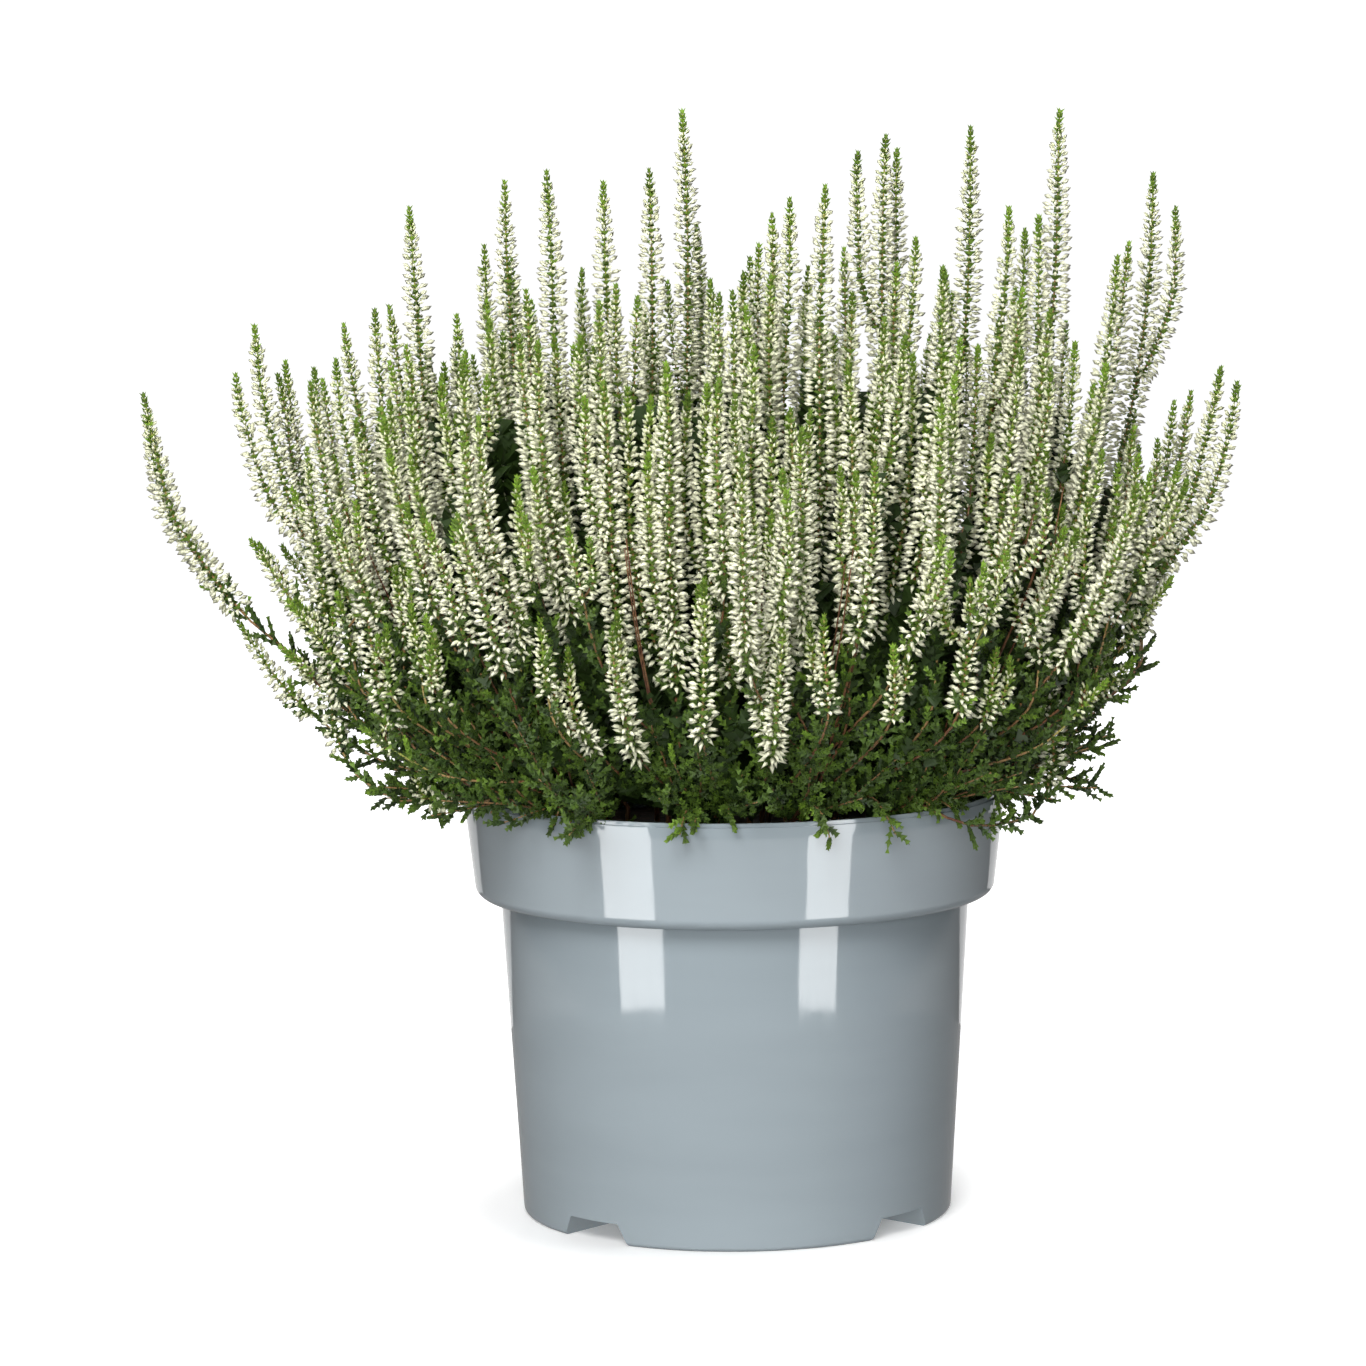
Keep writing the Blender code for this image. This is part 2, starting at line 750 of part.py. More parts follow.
def fill_rim(room):
    """Balls along the pot's rim, for the shoots to keep clear of."""
    radius = RIM_RADIUS - 0.5 * WALL
    points = []
    for number in range(RIM_BALLS):
        angle = math.tau * number / RIM_BALLS
        for depth in RIM_BALL_DEPTHS:
            points.append(Vector((radius * math.cos(angle), radius * math.sin(angle), POT_HEIGHT - depth)))
    room.fill("pot", points, [RIM_BALL_RADIUS] * len(points))


def stand_over_origin(objects):
    """Moves the whole so that the origin is on the floor, under the middle of its box."""
    graph = bpy.context.evaluated_depsgraph_get()
    corners = []
    for obj in objects:
        if not obj.hide_render:
            found = obj.evaluated_get(graph)
            corners += [found.matrix_world @ Vector(corner) for corner in found.bound_box]
    low = [min(corner[axis] for corner in corners) for axis in range(2)]
    high = [max(corner[axis] for corner in corners) for axis in range(2)]
    bpy.ops.object.empty_add(location=(0.0, 0.0, 0.0))
    ground = bpy.context.object
    ground.name = "ground_point"
    for obj in objects:
        obj.parent = ground
    ground.location = (-0.5 * (low[0] + high[0]), -0.5 * (low[1] + high[1]), 0.0)


def build():
    empty_scene()
    heather = new_collection("potted_heather")
    cutters = new_collection("cutters")
    leaf = new_material("leaf_green", (0.055, 0.115, 0.025), 0.55)
    flower = new_material("flower_white", (0.72, 0.76, 0.55), 0.5)
    chance = random.Random(SEED + 1)
    stems = lay_out()
    spikes = [spike for stem in stems for spike in stem.spikes]
    room = Room()
    fill_rim(room)
    for number, stem in enumerate(stems, start=1):
        build_spray(f"flower_spray_{number:02d}", stem, spikes, heather, flower, room, chance)
    for number, stem in enumerate(stems, start=1):
        room.fill(f"leafy_stem_{number:02d}", *fill_between(*stem_rings(stem)))
    for number, stem in enumerate(stems, start=1):
        build_leafy_stem(f"leafy_stem_{number:02d}", stem, heather, leaf, room, chance)
    build_soil(heather, cutters, stems)
    build_pot(heather, cutters)
    stand_over_origin(list(bpy.data.objects))


build()
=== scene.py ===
"""A white bud-flowering heather in a glossy blue-grey nursery pot, dressed over its CAD frame. Metres, +Z up."""

import math
import random

import bpy
import numpy as np
from bpy.props import FloatProperty, FloatVectorProperty, IntProperty, PointerProperty
from bpy.types import Operator, Panel, PropertyGroup
from mathutils import Matrix, Vector, noise


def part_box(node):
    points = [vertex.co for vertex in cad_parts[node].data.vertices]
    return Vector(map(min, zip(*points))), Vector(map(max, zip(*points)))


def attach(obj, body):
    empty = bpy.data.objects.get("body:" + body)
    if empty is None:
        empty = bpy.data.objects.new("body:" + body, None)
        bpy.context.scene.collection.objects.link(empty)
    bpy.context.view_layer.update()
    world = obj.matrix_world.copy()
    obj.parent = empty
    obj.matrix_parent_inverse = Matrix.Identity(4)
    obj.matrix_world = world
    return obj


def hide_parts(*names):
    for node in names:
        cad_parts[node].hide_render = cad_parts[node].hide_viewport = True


bl_info = {
    "name": "Potted Heather",
    "version": (1, 0, 0),
    "blender": (4, 5, 0),
    "location": "3D View > Sidebar > Heather",
    "description": "Builds the finished pieces of a potted heather over its CAD frame",
    "category": "Add Mesh",
}

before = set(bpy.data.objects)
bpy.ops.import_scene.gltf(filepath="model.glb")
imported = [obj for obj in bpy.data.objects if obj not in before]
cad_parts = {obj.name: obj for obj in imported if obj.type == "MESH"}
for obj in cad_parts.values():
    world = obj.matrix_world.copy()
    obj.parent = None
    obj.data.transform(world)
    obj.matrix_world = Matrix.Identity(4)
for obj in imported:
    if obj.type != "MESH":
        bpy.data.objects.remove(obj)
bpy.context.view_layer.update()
POT_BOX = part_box("pot")
AXIS = (POT_BOX[0] + POT_BOX[1]) / 2.0
AXIS.z = 0.0

# The pot, as in its CAD node
RIM_RADIUS = 0.1150
POT_HEIGHT = 0.1815
WALL = 0.0016
COLLAR_BOTTOM_Z = 0.1368
COLLAR_FOOT_RADIUS = 0.1106
BODY_TOP_RADIUS = 0.0996
BASE_RADIUS = 0.0915
FLOOR = 0.0020
CHANNEL_TURN = math.radians(4.0)
CHANNEL_HEIGHT = 0.0090
CHANNEL_HALF_FOOT = 0.0176
CHANNEL_HALF_ROOF = 0.0131
DRAIN_RADIUS = 0.0045
DRAIN_RING_RADIUS = 0.062
GAP = 0.0003
SOIL_TOP_Z = 0.1600
STEM_DEPTH = 0.0120

# The plant's layout, as in its CAD nodes
STEMS = 26
SHOOTS = 186
FLOWERING_OF_TEN = 7
DARK_WITHIN = 0.45
SEED = 7
GOLDEN_ANGLE = math.radians(137.508)
SHOOT_SPACING = 0.112
SETTLING_ROUNDS = 12
GATHERING_ROUNDS = 6
BUSH_REACH = (
    (0.170, 0.082), (0.178, 0.092), (0.187, 0.112), (0.195, 0.128), (0.230, 0.160), (0.270, 0.187),
    (0.300, 0.202), (0.350, 0.213), (0.400, 0.220), (0.480, 0.226),
)
OUTLINE_TIPS_MM = (
    (-246, 352), (-201, 379), (-191, 362), (-172, 359), (-163, 379), (-149, 386), (-135, 428), (-116, 382),
    (-108, 409), (-96, 438), (-76, 443), (-63, 400), (-51, 438), (-34, 443), (-19, 467), (-14, 419),
    (5, 400), (13, 411), (24, 431), (38, 437), (50, 408), (66, 456), (72, 450), (76, 414), (85, 405),
    (103, 459), (113, 427), (128, 414), (136, 466), (144, 376), (159, 406), (169, 410), (182, 438),
    (197, 346), (206, 357),
)
OUTLINE_DEPTH = 0.6
FORK_Z = 0.214
FORK_DROP = 0.022
FORK_STEP = 0.005
SPREAD_HEIGHT = 0.060
DOME_Z = 0.405
DOME_FALL = 0.050
DOME_UNEVEN = 0.035
LOW_FROM = 0.72
LOW_FALL = 0.060
LEAFY_FROM_Z = (0.172, 0.184)
LEAFY_TOP_Z = (0.216, 0.234)
LEAFY_SPREAD_HEIGHT = 0.034
TRAILING_BEYOND = 0.62

# The numbers of a material's place in a piece of the plant
BUD, LEAF, BARK = range(3)


class PotSettings(PropertyGroup):
    colour: FloatVectorProperty(
        name="Plastic", description="Colour of the pot's plastic", subtype="COLOR", size=3,
        min=0.0, max=1.0, default=(0.278, 0.325, 0.352),
    )
    segments: IntProperty(name="Segments", description="Facets round the pot", default=144, min=24, max=400)


class PeatSettings(PropertyGroup):
    colour: FloatVectorProperty(
        name="Peat", description="Colour of the moist peat", subtype="COLOR", size=3,
        min=0.0, max=1.0, default=(0.035, 0.022, 0.014),
    )
    roughness: FloatProperty(
        name="Crumbs", description="Height of the crumbs on top", unit="LENGTH", default=0.0040, min=0.0
    )


class FlowerSettings(PropertyGroup):
    bud_length: FloatProperty(
        name="Bud length", description="Length of a full-grown bud", unit="LENGTH", default=0.0052, min=0.001
    )
    bud_width: FloatProperty(
        name="Bud width", description="Width of a full-grown bud", unit="LENGTH", default=0.0020, min=0.0005
    )
    bud_colour: FloatVectorProperty(
        name="Bud", description="Colour of the closed petals", subtype="COLOR", size=3,
        min=0.0, max=1.0, default=(0.88, 0.88, 0.66),
    )
    calyx_colour: FloatVectorProperty(
        name="Bud's foot", description="Colour of the yellow-green foot of a bud", subtype="COLOR", size=3,
        min=0.0, max=1.0, default=(0.33, 0.40, 0.045),
    )


class LeafSettings(PropertyGroup):
    twig_length: FloatProperty(
        name="Twig length", description="Length of a leafy side twig", unit="LENGTH", default=0.0100, min=0.001
    )
    old_colour: FloatVectorProperty(
        name="Old leaves", description="Colour of the leaves low in the bush", subtype="COLOR", size=3,
        min=0.0, max=1.0, default=(0.015, 0.031, 0.007),
    )
    young_colour: FloatVectorProperty(
        name="Young leaves", description="Colour of the growing tips", subtype="COLOR", size=3,
        min=0.0, max=1.0, default=(0.17, 0.29, 0.030),
    )
    bark_colour: FloatVectorProperty(
        name="Bark", description="Colour of the reddish bark", subtype="COLOR", size=3,
        min=0.0, max=1.0, default=(0.11, 0.036, 0.018),
    )


class StudioSettings(PropertyGroup):
    floor_colour: FloatVectorProperty(
        name="Floor", description="Colour of the pale floor", subtype="COLOR", size=3,
        min=0.0, max=1.0, default=(0.90, 0.90, 0.90),
    )
    key_power: FloatProperty(name="Key light", description="Power of the main softbox", unit="POWER", default=50.0)
    fill_power: FloatProperty(name="Fill light", description="Power of the low front softbox", unit="POWER", default=30.0)


# Where the plant's shoots stand


class Stem:
    """A woody stem that stands in the root ball. Its place is in a plan of the bush with a radius of 1."""

    def __init__(self, place):
        self.place = place
        self.spikes = []
        self.leafy = []
        self.fork_z = 0.0

    def path(self, heights):
        reach = reach_at(heights)
        return np.stack((AXIS.x + self.place.x * reach, AXIS.y + self.place.y * reach, heights), axis=1)


class Shoot:
    """A shoot that leaves its stem at the fork and draws out to a place of its own as it rises."""

    def __init__(self, place):
        self.place = place
        self.stem = None
        self.fork_z = 0.0
        self.tip_z = 0.0
        self.spread_height = SPREAD_HEIGHT
        self.fixed = False

    def path(self, heights):
        rise = np.clip((heights - self.fork_z) / self.spread_height, 0.0, 1.0)
        share = 1.0 - (1.0 - rise) ** 2
        reach = reach_at(heights)
        x = (self.stem.place.x + (self.place.x - self.stem.place.x) * share) * reach
        y = (self.stem.place.y + (self.place.y - self.stem.place.y) * share) * reach
        return np.stack((AXIS.x + x, AXIS.y + y, heights), axis=1)


def reach_at(heights):
    table = np.array(BUSH_REACH)
    return np.interp(heights, table[:, 0], table[:, 1])


def even_places(count):
    """Places that fill a disc of radius 1 evenly, along a sunflower's spiral."""
    places = []
    for number in range(count):
        radius = math.sqrt((number + 0.5) / count)
        angle = number * GOLDEN_ANGLE
        places.append(Vector((radius * math.cos(angle), radius * math.sin(angle))))
    return places


def set_outline(spikes):
    """Gives each tip of the outline to the nearest spike in the middle of the bush's depth."""
    free = [spike for spike in spikes if abs(spike.place.y) < OUTLINE_DEPTH]
    for x_mm, z_mm in OUTLINE_TIPS_MM:
        x = x_mm / 1000.0 / float(reach_at(z_mm / 1000.0))
        nearest = min(free, key=lambda spike: abs(spike.place.x - x) + 0.05 * abs(spike.place.y))
        nearest.place.x = x
        nearest.tip_z = z_mm / 1000.0
        nearest.fixed = True
        free.remove(nearest)


def push_apart(shoots):
    """Moves shoots that stand too close away from each other. Those of the outline only move in depth."""
    for _ in range(SETTLING_ROUNDS):
        for number, one in enumerate(shoots):
            for other in shoots[:number]:
                apart = one.place - other.place
                lack = SHOOT_SPACING - apart.length
                if lack <= 0.0:
                    continue
                push = apart.normalized() * 0.5 * lack
                for shoot, way in ((one, push), (other, -push)):
                    shoot.place.y += way.y
                    if not shoot.fixed:
                        shoot.place.x += way.x
        for shoot in shoots:
            if not shoot.fixed and shoot.place.length > 1.0:
                shoot.place.normalize()


def gather(shoots):
    """Gives each shoot to the nearest stem, and moves each stem to the middle of its shoots."""
    stems = [Stem(place) for place in even_places(STEMS)]
    for _ in range(GATHERING_ROUNDS):
        groups = [[] for _ in stems]
        for shoot in shoots:
            nearest = min(range(STEMS), key=lambda number: (stems[number].place - shoot.place).length)
            groups[nearest].append(shoot)
        for stem, group in zip(stems, groups):
            stem.place = sum((shoot.place for shoot in group), Vector((0.0, 0.0))) / len(group)
    for stem, group in zip(stems, groups):
        for shoot in group:
            shoot.stem = stem
    return stems


def set_heights(spikes, leafy, chance):
    """The free tips fill a dome that falls to its edge, where some are much lower still."""
    for spike in spikes:
        out = min(1.0, spike.place.length)
        edge = max(0.0, out - LOW_FROM) / (1.0 - LOW_FROM)
        dome = DOME_Z - DOME_FALL * out**3
        free_tip = dome - DOME_UNEVEN * chance.random() - LOW_FALL * edge * chance.random()
        if not spike.fixed:
            spike.tip_z = free_tip
    for shoot in leafy:
        shoot.spread_height = LEAFY_SPREAD_HEIGHT
        shoot.fork_z = chance.uniform(*LEAFY_FROM_Z)
        shoot.tip_z = chance.uniform(*LEAFY_TOP_Z)


def set_forks(stem):
    """The spike nearest the middle carries the stem's line on. Those that go furthest out leave it first."""
    stem.spikes.sort(key=lambda spike: (spike.place - stem.place).length)
    stem.place = stem.spikes[0].place.copy()
    stem.fork_z = FORK_Z - FORK_DROP * stem.place.length
    stem.spikes.sort(key=lambda spike: (spike.place - stem.place).length)
    count = len(stem.spikes)
    for number, spike in enumerate(stem.spikes):
        spike.fork_z = stem.fork_z + (FORK_STEP * (count - number) if number else 0.0)


def lay_out():
    """The stems with their shoots, in the order and places of the CAD nodes."""
    chance = random.Random(SEED)
    shoots = [Shoot(place) for place in even_places(SHOOTS)]
    spikes = [shoot for number, shoot in enumerate(shoots) if number % 10 < FLOWERING_OF_TEN]
    leafy = [shoot for shoot in shoots if shoot not in spikes and shoot.place.length > DARK_WITHIN]
    shoots = spikes + leafy
    set_outline(spikes)
    push_apart(shoots)
    stems = gather(shoots)
    set_heights(spikes, leafy, chance)
    for stem in stems:
        stem.spikes = [spike for spike in spikes if spike.stem is stem]
        stem.leafy = [shoot for shoot in leafy if shoot.stem is stem]
        set_forks(stem)
    stems.sort(key=lambda stem: (stem.place.y, stem.place.x))
    return stems


# Vectors, by the row


def unit(rows):
    return rows / np.maximum(np.linalg.norm(rows, axis=-1, keepdims=True), 1e-9)


def square_to(directions, toward):
    """Unit rows square to the directions, turned towards another row."""
    return unit(toward - np.sum(toward * directions, axis=-1, keepdims=True) * directions)


def round_axis(directions, angles):
    """Unit rows square to the directions, at these angles round them."""
    side = square_to(directions, np.broadcast_to((1.0, 0.013, 0.0), directions.shape))
    other = np.cross(directions, side)
    return np.cos(angles)[..., None] * side + np.sin(angles)[..., None] * other


def along_path(path, at):
    """Points and directions of a path at these shares of its length."""
    steps = np.linalg.norm(np.diff(path, axis=0), axis=1)
    shares = np.concatenate(((0.0,), np.cumsum(steps))) / steps.sum()
    points = np.stack([np.interp(at, shares, path[:, axis]) for axis in range(3)], axis=1)
    slopes = unit(np.gradient(path, axis=0))
    return points, unit(np.stack([np.interp(at, shares, slopes[:, axis]) for axis in range(3)], axis=1))


# Meshes of many small like forms


def outward(points, faces):
    """The faces of a small convex form, each turned to look out of it."""
    middle = points.mean(axis=0)
    corners = points[faces]
    normals = np.cross(corners[:, 1] - corners[:, 0], corners[:, 2] - corners[:, 0])
    inward = np.sum(normals * (corners.mean(axis=1) - middle), axis=1) < 0.0
    faces[inward] = faces[inward][:, ::-1]
    return points, faces


def bud_form(heights):
    """A bud with its foot at 0 and its tip at 1. Its sides' corners stand at different heights, so it is plump."""
    sides = len(heights)
    points = [(0.0, 0.0, 0.0)]
    for side, height in enumerate(heights):
        angle = math.tau * side / sides
        points.append((math.cos(angle), math.sin(angle), height))
    points.append((0.0, 0.0, 1.0))
    faces = []
    for side in range(sides):
        after = (side + 1) % sides
        faces += [(0, 1 + side, 1 + after), (1 + sides, 1 + side, 1 + after)]
    return outward(np.array(points), np.array(faces))


def leaf_form():
    """A scale leaf: keeled on its back and flat towards the shoot, with its foot at 0 and its tip at 1."""
    points = np.array(((-0.9, 0.0, 0.10), (0.9, 0.0, 0.10), (0.0, 0.9, 0.24), (0.0, 0.10, 1.0)))
    return outward(points, np.array(((0, 1, 3), (1, 2, 3), (2, 0, 3), (0, 2, 1))))


def leaf_pair_form():
    """Two opposite leaves as one slim wedge. Its width is the reach of their tips, and its length how far they rise."""
    points = np.array(((-1.0, 0.0, 1.0), (1.0, 0.0, 1.0), (0.0, 0.62, -0.35), (0.0, -0.62, -0.35)))
    return outward(points, np.array(((0, 1, 2), (0, 3, 1), (0, 2, 3), (1, 3, 2))))


class Growth:
    """Gathers the points, faces and tints of one piece.

    A tint's red is the share of the way from a form's foot to its tip, its green a random number of the form, and
    its blue how young the form is.
    """

    def __init__(self):
        self.points = []
        self.faces = []
        self.tints = []
        self.materials = []
        self.count = 0

    def add(self, points, faces, tints, material):
        self.points.append(points)
        self.faces.append(faces + self.count)
        self.tints.append(tints)
        self.materials.append(np.full(len(faces), material, np.int32))
        self.count += len(points)

    def add_forms(self, form, material, feet, ways, sides, lengths, widths, chances, youth):
        """One copy of the form at each foot. It points along its way, with its width along its side."""
        shape, faces = form
        count, corners = len(feet), len(shape)
        other = np.cross(ways, sides)
        points = feet[:, None] + shape[None, :, 2, None] * (ways * lengths[:, None])[:, None]
        points = points + shape[None, :, 0, None] * (sides * widths[:, None])[:, None]
        points = points + shape[None, :, 1, None] * (other * widths[:, None])[:, None]
        tints = np.ones((count, corners, 4))
        tints[..., 0] = shape[None, :, 2]
        tints[..., 1] = chances[:, None]
        tints[..., 2] = youth[:, None]
        starts = corners * np.arange(count)[:, None, None]
        self.add(points.reshape(-1, 3), (faces[None] + starts).reshape(-1, 3), tints.reshape(-1, 4), material)

    def add_tubes(self, paths, radii, sides, chances, youth, material):
        """One closed tube along each path. All the paths have the same number of points."""
        count, rings = paths.shape[:2]
        slopes = unit(np.gradient(paths, axis=1))
        whole = unit(paths[:, -1] - paths[:, 0])
        start = square_to(whole, np.broadcast_to((0.31, 0.95, 0.02), whole.shape))
        side = square_to(slopes, np.broadcast_to(start[:, None], slopes.shape))
        other = np.cross(slopes, side)
        angles = math.tau * np.arange(sides) / sides
        ring = np.cos(angles)[:, None] * side[:, :, None] + np.sin(angles)[:, None] * other[:, :, None]
        points = paths[:, :, None] + radii[:, :, None, None] * ring
        faces = []
        for low in range(rings - 1):
            for corner in range(sides):
                after = (corner + 1) % sides
                a, b = low * sides + corner, low * sides + after
                faces += [(a, b, a + sides), (a + sides, b, b + sides)]
        for corner in range(1, sides - 1):
            faces.append((0, corner + 1, corner))
            end = (rings - 1) * sides
            faces.append((end, end + corner, end + corner + 1))
        tints = np.ones((count, rings, sides, 4))
        tints[..., 0] = np.linspace(0.0, 1.0, rings)[None, :, None]
        tints[..., 1] = chances[:, None, None]
        tints[..., 2] = youth[:, :, None]
        starts = rings * sides * np.arange(count)[:, None, None]
        self.add(points.reshape(-1, 3), (np.array(faces)[None] + starts).reshape(-1, 3), tints.reshape(-1, 4), material)

    def made(self, name, materials):
        mesh = bpy.data.meshes.new(name)
        points = np.concatenate(self.points).astype(np.float32)
        faces = np.concatenate(self.faces).astype(np.int32)
        mesh.vertices.add(len(points))
        mesh.vertices.foreach_set("co", points.ravel())
        mesh.loops.add(3 * len(faces))
        mesh.loops.foreach_set("vertex_index", faces.ravel())
        mesh.polygons.add(len(faces))
        mesh.polygons.foreach_set("loop_start", np.arange(0, 3 * len(faces), 3, dtype=np.int32))
        for material in materials:
            mesh.materials.append(material)
        numbers = np.concatenate(self.materials)
        mesh.polygons.foreach_set("material_index", numbers)
        mesh.polygons.foreach_set("use_smooth", numbers != LEAF)
        tint = mesh.attributes.new("tint", "FLOAT_COLOR", "POINT")
        tint.data.foreach_set("color", np.concatenate(self.tints).astype(np.float32).ravel())
        mesh.update(calc_edges=True)
        made = bpy.data.objects.new(name, mesh)
        bpy.context.scene.collection.objects.link(made)
        return made


BUD_FORM = bud_form((0.34, 0.66, 0.34, 0.66))
FAR_BUD_FORM = bud_form((0.32, 0.50, 0.68))
LEAF_FORM = leaf_form()
LEAF_PAIR_FORM = leaf_pair_form()
PAIR_TIPS = np.array((1.0, 1.0, 0.0, 0.0))


# Materials


def new_material(name, roughness, **constants):
    made = bpy.data.materials.new(name)
    made.use_nodes = True
    shader = made.node_tree.nodes["Principled BSDF"]
    shader.inputs["Roughness"].default_value = roughness
    for socket, value in constants.items():
        shader.inputs[socket.replace("_", " ")].default_value = value
    return made


class Recipe:
    """Builds one material's nodes, and joins sockets by short calls."""

    def __init__(self, material):
        self.tree = material.node_tree
        self.shader = self.tree.nodes.get("Principled BSDF")
        self.place = None

    def node(self, kind, **settings):
        made = self.tree.nodes.new(kind)
        for name, value in settings.items():
            setattr(made, name, value)
        return made

    def join(self, start, end):
        self.tree.links.new(start, end)

    def position(self):
        if self.place is None:
            self.place = self.node("ShaderNodeTexCoord").outputs["Object"]
        return self.place

    def noise(self, scale, detail=3.0, stretch=(1.0, 1.0, 1.0)):
        mapping = self.node("ShaderNodeMapping")
        mapping.inputs["Scale"].default_value = stretch
        self.join(self.position(), mapping.inputs["Vector"])
        made = self.node("ShaderNodeTexNoise")
        made.inputs["Scale"].default_value = scale
        made.inputs["Detail"].default_value = detail
        self.join(mapping.outputs["Vector"], made.inputs["Vector"])
        return made.outputs["Fac"]

    def between(self, value, low, high, start=0.0, end=1.0):
        """Maps a value from the range start to end on to the range low to high."""
        made = self.node("ShaderNodeMapRange")
        made.inputs["From Min"].default_value = start
        made.inputs["From Max"].default_value = end
        made.inputs["To Min"].default_value = low
        made.inputs["To Max"].default_value = high
        self.join(value, made.inputs["Value"])
        return made.outputs["Result"]

    def ramp(self, value, stops):
        made = self.node("ShaderNodeValToRGB")
        elements = made.color_ramp.elements
        while len(elements) < len(stops):
            elements.new(0.5)
        for element, (place, colour) in zip(elements, stops):
            element.position = place
            element.color = (*colour, 1.0)
        self.join(value, made.inputs["Fac"])
        return made.outputs["Color"]

    def mix(self, share, first, second, kind="MIX"):
        """Mixes two colours, each a socket or three numbers."""
        made = self.node("ShaderNodeMix", data_type="RGBA", blend_type=kind)
        for socket, value in ((made.inputs[0], share), (made.inputs[6], first), (made.inputs[7], second)):
            if isinstance(value, bpy.types.NodeSocket):
                self.join(value, socket)
            elif isinstance(value, float):
                socket.default_value = value
            else:
                socket.default_value = (*value, 1.0)
        return made.outputs[2]

    def lit(self, colour, value):
        """The colour made lighter or darker by a value."""
        made = self.node("ShaderNodeVectorMath", operation="SCALE")
        self.join(colour, made.inputs[0])
        self.join(value, made.inputs["Scale"])
        return made.outputs[0]

    def tint(self):
        """The share along the form, its random number and its youth."""
        found = self.node("ShaderNodeAttribute", attribute_type="GEOMETRY", attribute_name="tint")
        parts = self.node("ShaderNodeSeparateColor")
        self.join(found.outputs["Color"], parts.inputs["Color"])
        return parts.outputs[0], parts.outputs[1], parts.outputs[2]

    def colour(self, colour):
        self.join(colour, self.shader.inputs["Base Color"])

    def roughness(self, value):
        self.join(value, self.shader.inputs["Roughness"])

    def bump(self, height, distance, strength=1.0):
        made = self.node("ShaderNodeBump")
        made.inputs["Strength"].default_value = strength
        made.inputs["Distance"].default_value = distance
        self.join(height, made.inputs["Height"])
        self.join(made.outputs["Normal"], self.shader.inputs["Normal"])


def bud_material(settings):
    made = new_material("waxy_bud", 0.42)
    recipe = Recipe(made)
    along, chance, youth = recipe.tint()
    calyx = tuple(settings.calyx_colour)
    petals = tuple(settings.bud_colour)
    pale = tuple(0.45 * a + 0.55 * b for a, b in zip(calyx, petals))
    grown = recipe.ramp(along, ((0.0, calyx), (0.05, calyx), (0.14, pale), (0.25, petals)))
    young = recipe.ramp(along, ((0.0, calyx), (0.25, calyx), (0.55, pale), (0.90, petals)))
    colour = recipe.mix(youth, grown, young)
    shade = recipe.between(chance, 0.80, 1.06)
    colour = recipe.lit(colour, shade)
    veins = recipe.noise(900.0, 2.0, (1.0, 1.0, 0.35))
    recipe.colour(recipe.lit(colour, recipe.between(veins, 0.93, 1.05)))
    recipe.bump(veins, 0.00008)
    return made


def leaf_material(settings):
    made = new_material("scale_leaf", 0.50, Specular_IOR_Level=0.3)
    recipe = Recipe(made)
    along, chance, youth = recipe.tint()
    old = tuple(settings.old_colour)
    young = tuple(settings.young_colour)
    middle = tuple(0.70 * a + 0.30 * b for a, b in zip(old, young))
    colour = recipe.ramp(youth, ((0.0, old), (0.45, middle), (1.0, young)))
    colour = recipe.lit(colour, recipe.between(chance, 0.62, 1.35))
    colour = recipe.lit(colour, recipe.between(along, 0.80, 1.30))
    mottle = recipe.noise(600.0)
    recipe.colour(recipe.lit(colour, recipe.between(mottle, 0.85, 1.12)))
    recipe.bump(mottle, 0.00010)
    return made


def bark_material(settings):
    made = new_material("heather_bark", 0.62)
    recipe = Recipe(made)
    _, chance, youth = recipe.tint()
    red = tuple(settings.bark_colour)
    tan = (0.23, 0.115, 0.048)
    pale = (0.33, 0.20, 0.080)
    green = (0.24, 0.30, 0.05)
    strips = recipe.noise(520.0, 4.0, (1.0, 1.0, 0.12))
    wood = recipe.mix(recipe.between(strips, 0.0, 1.0, 0.35, 0.65), red, tan)
    wood = recipe.lit(wood, recipe.between(chance, 0.60, 1.15))
    shoot = recipe.mix(recipe.between(youth, 0.0, 1.0, 0.10, 0.50), wood, pale)
    colour = recipe.mix(recipe.between(youth, 0.0, 1.0, 0.60, 1.0), shoot, green)
    recipe.colour(recipe.lit(colour, recipe.between(strips, 0.8, 1.15)))
    recipe.bump(strips, 0.00025)
    return made


def plastic_material(settings):
    """Moulded plastic: glossy, hardly uneven, with faint flow marks and fine scuffs."""
    made = new_material("blue_grey_plastic", 0.16, IOR=1.5)
    recipe = Recipe(made)
    cloud = recipe.noise(16.0, 2.0)
    flow = recipe.noise(7.0, 3.0, (1.0, 1.0, 5.0))
    scuffs = recipe.noise(60.0, 6.0, (9.0, 9.0, 0.6))
    dark, light = (tuple(share * part for part in settings.colour) for share in (0.96, 1.04))
    recipe.colour(recipe.mix(recipe.between(flow, 0.0, 1.0, 0.3, 0.7), dark, light))
    recipe.roughness(recipe.between(scuffs, 0.05, 0.11, 0.45, 0.75))
    recipe.bump(recipe.mix(0.06, cloud, scuffs), 0.0009, 0.12)
    return made


def peat_material(settings):
    made = new_material("moist_peat", 0.92)
    recipe = Recipe(made)
    dark = tuple(settings.colour)
    light = tuple(2.6 * part for part in dark)
    fibres = recipe.noise(240.0, 6.0, (1.0, 1.0, 0.5))
    lumps = recipe.noise(70.0, 5.0)
    recipe.colour(recipe.mix(recipe.between(fibres, 0.0, 1.0, 0.45, 0.70), dark, light))
    recipe.bump(recipe.mix(0.5, lumps, fibres), 0.002)
    return made


# The pot and its root ball


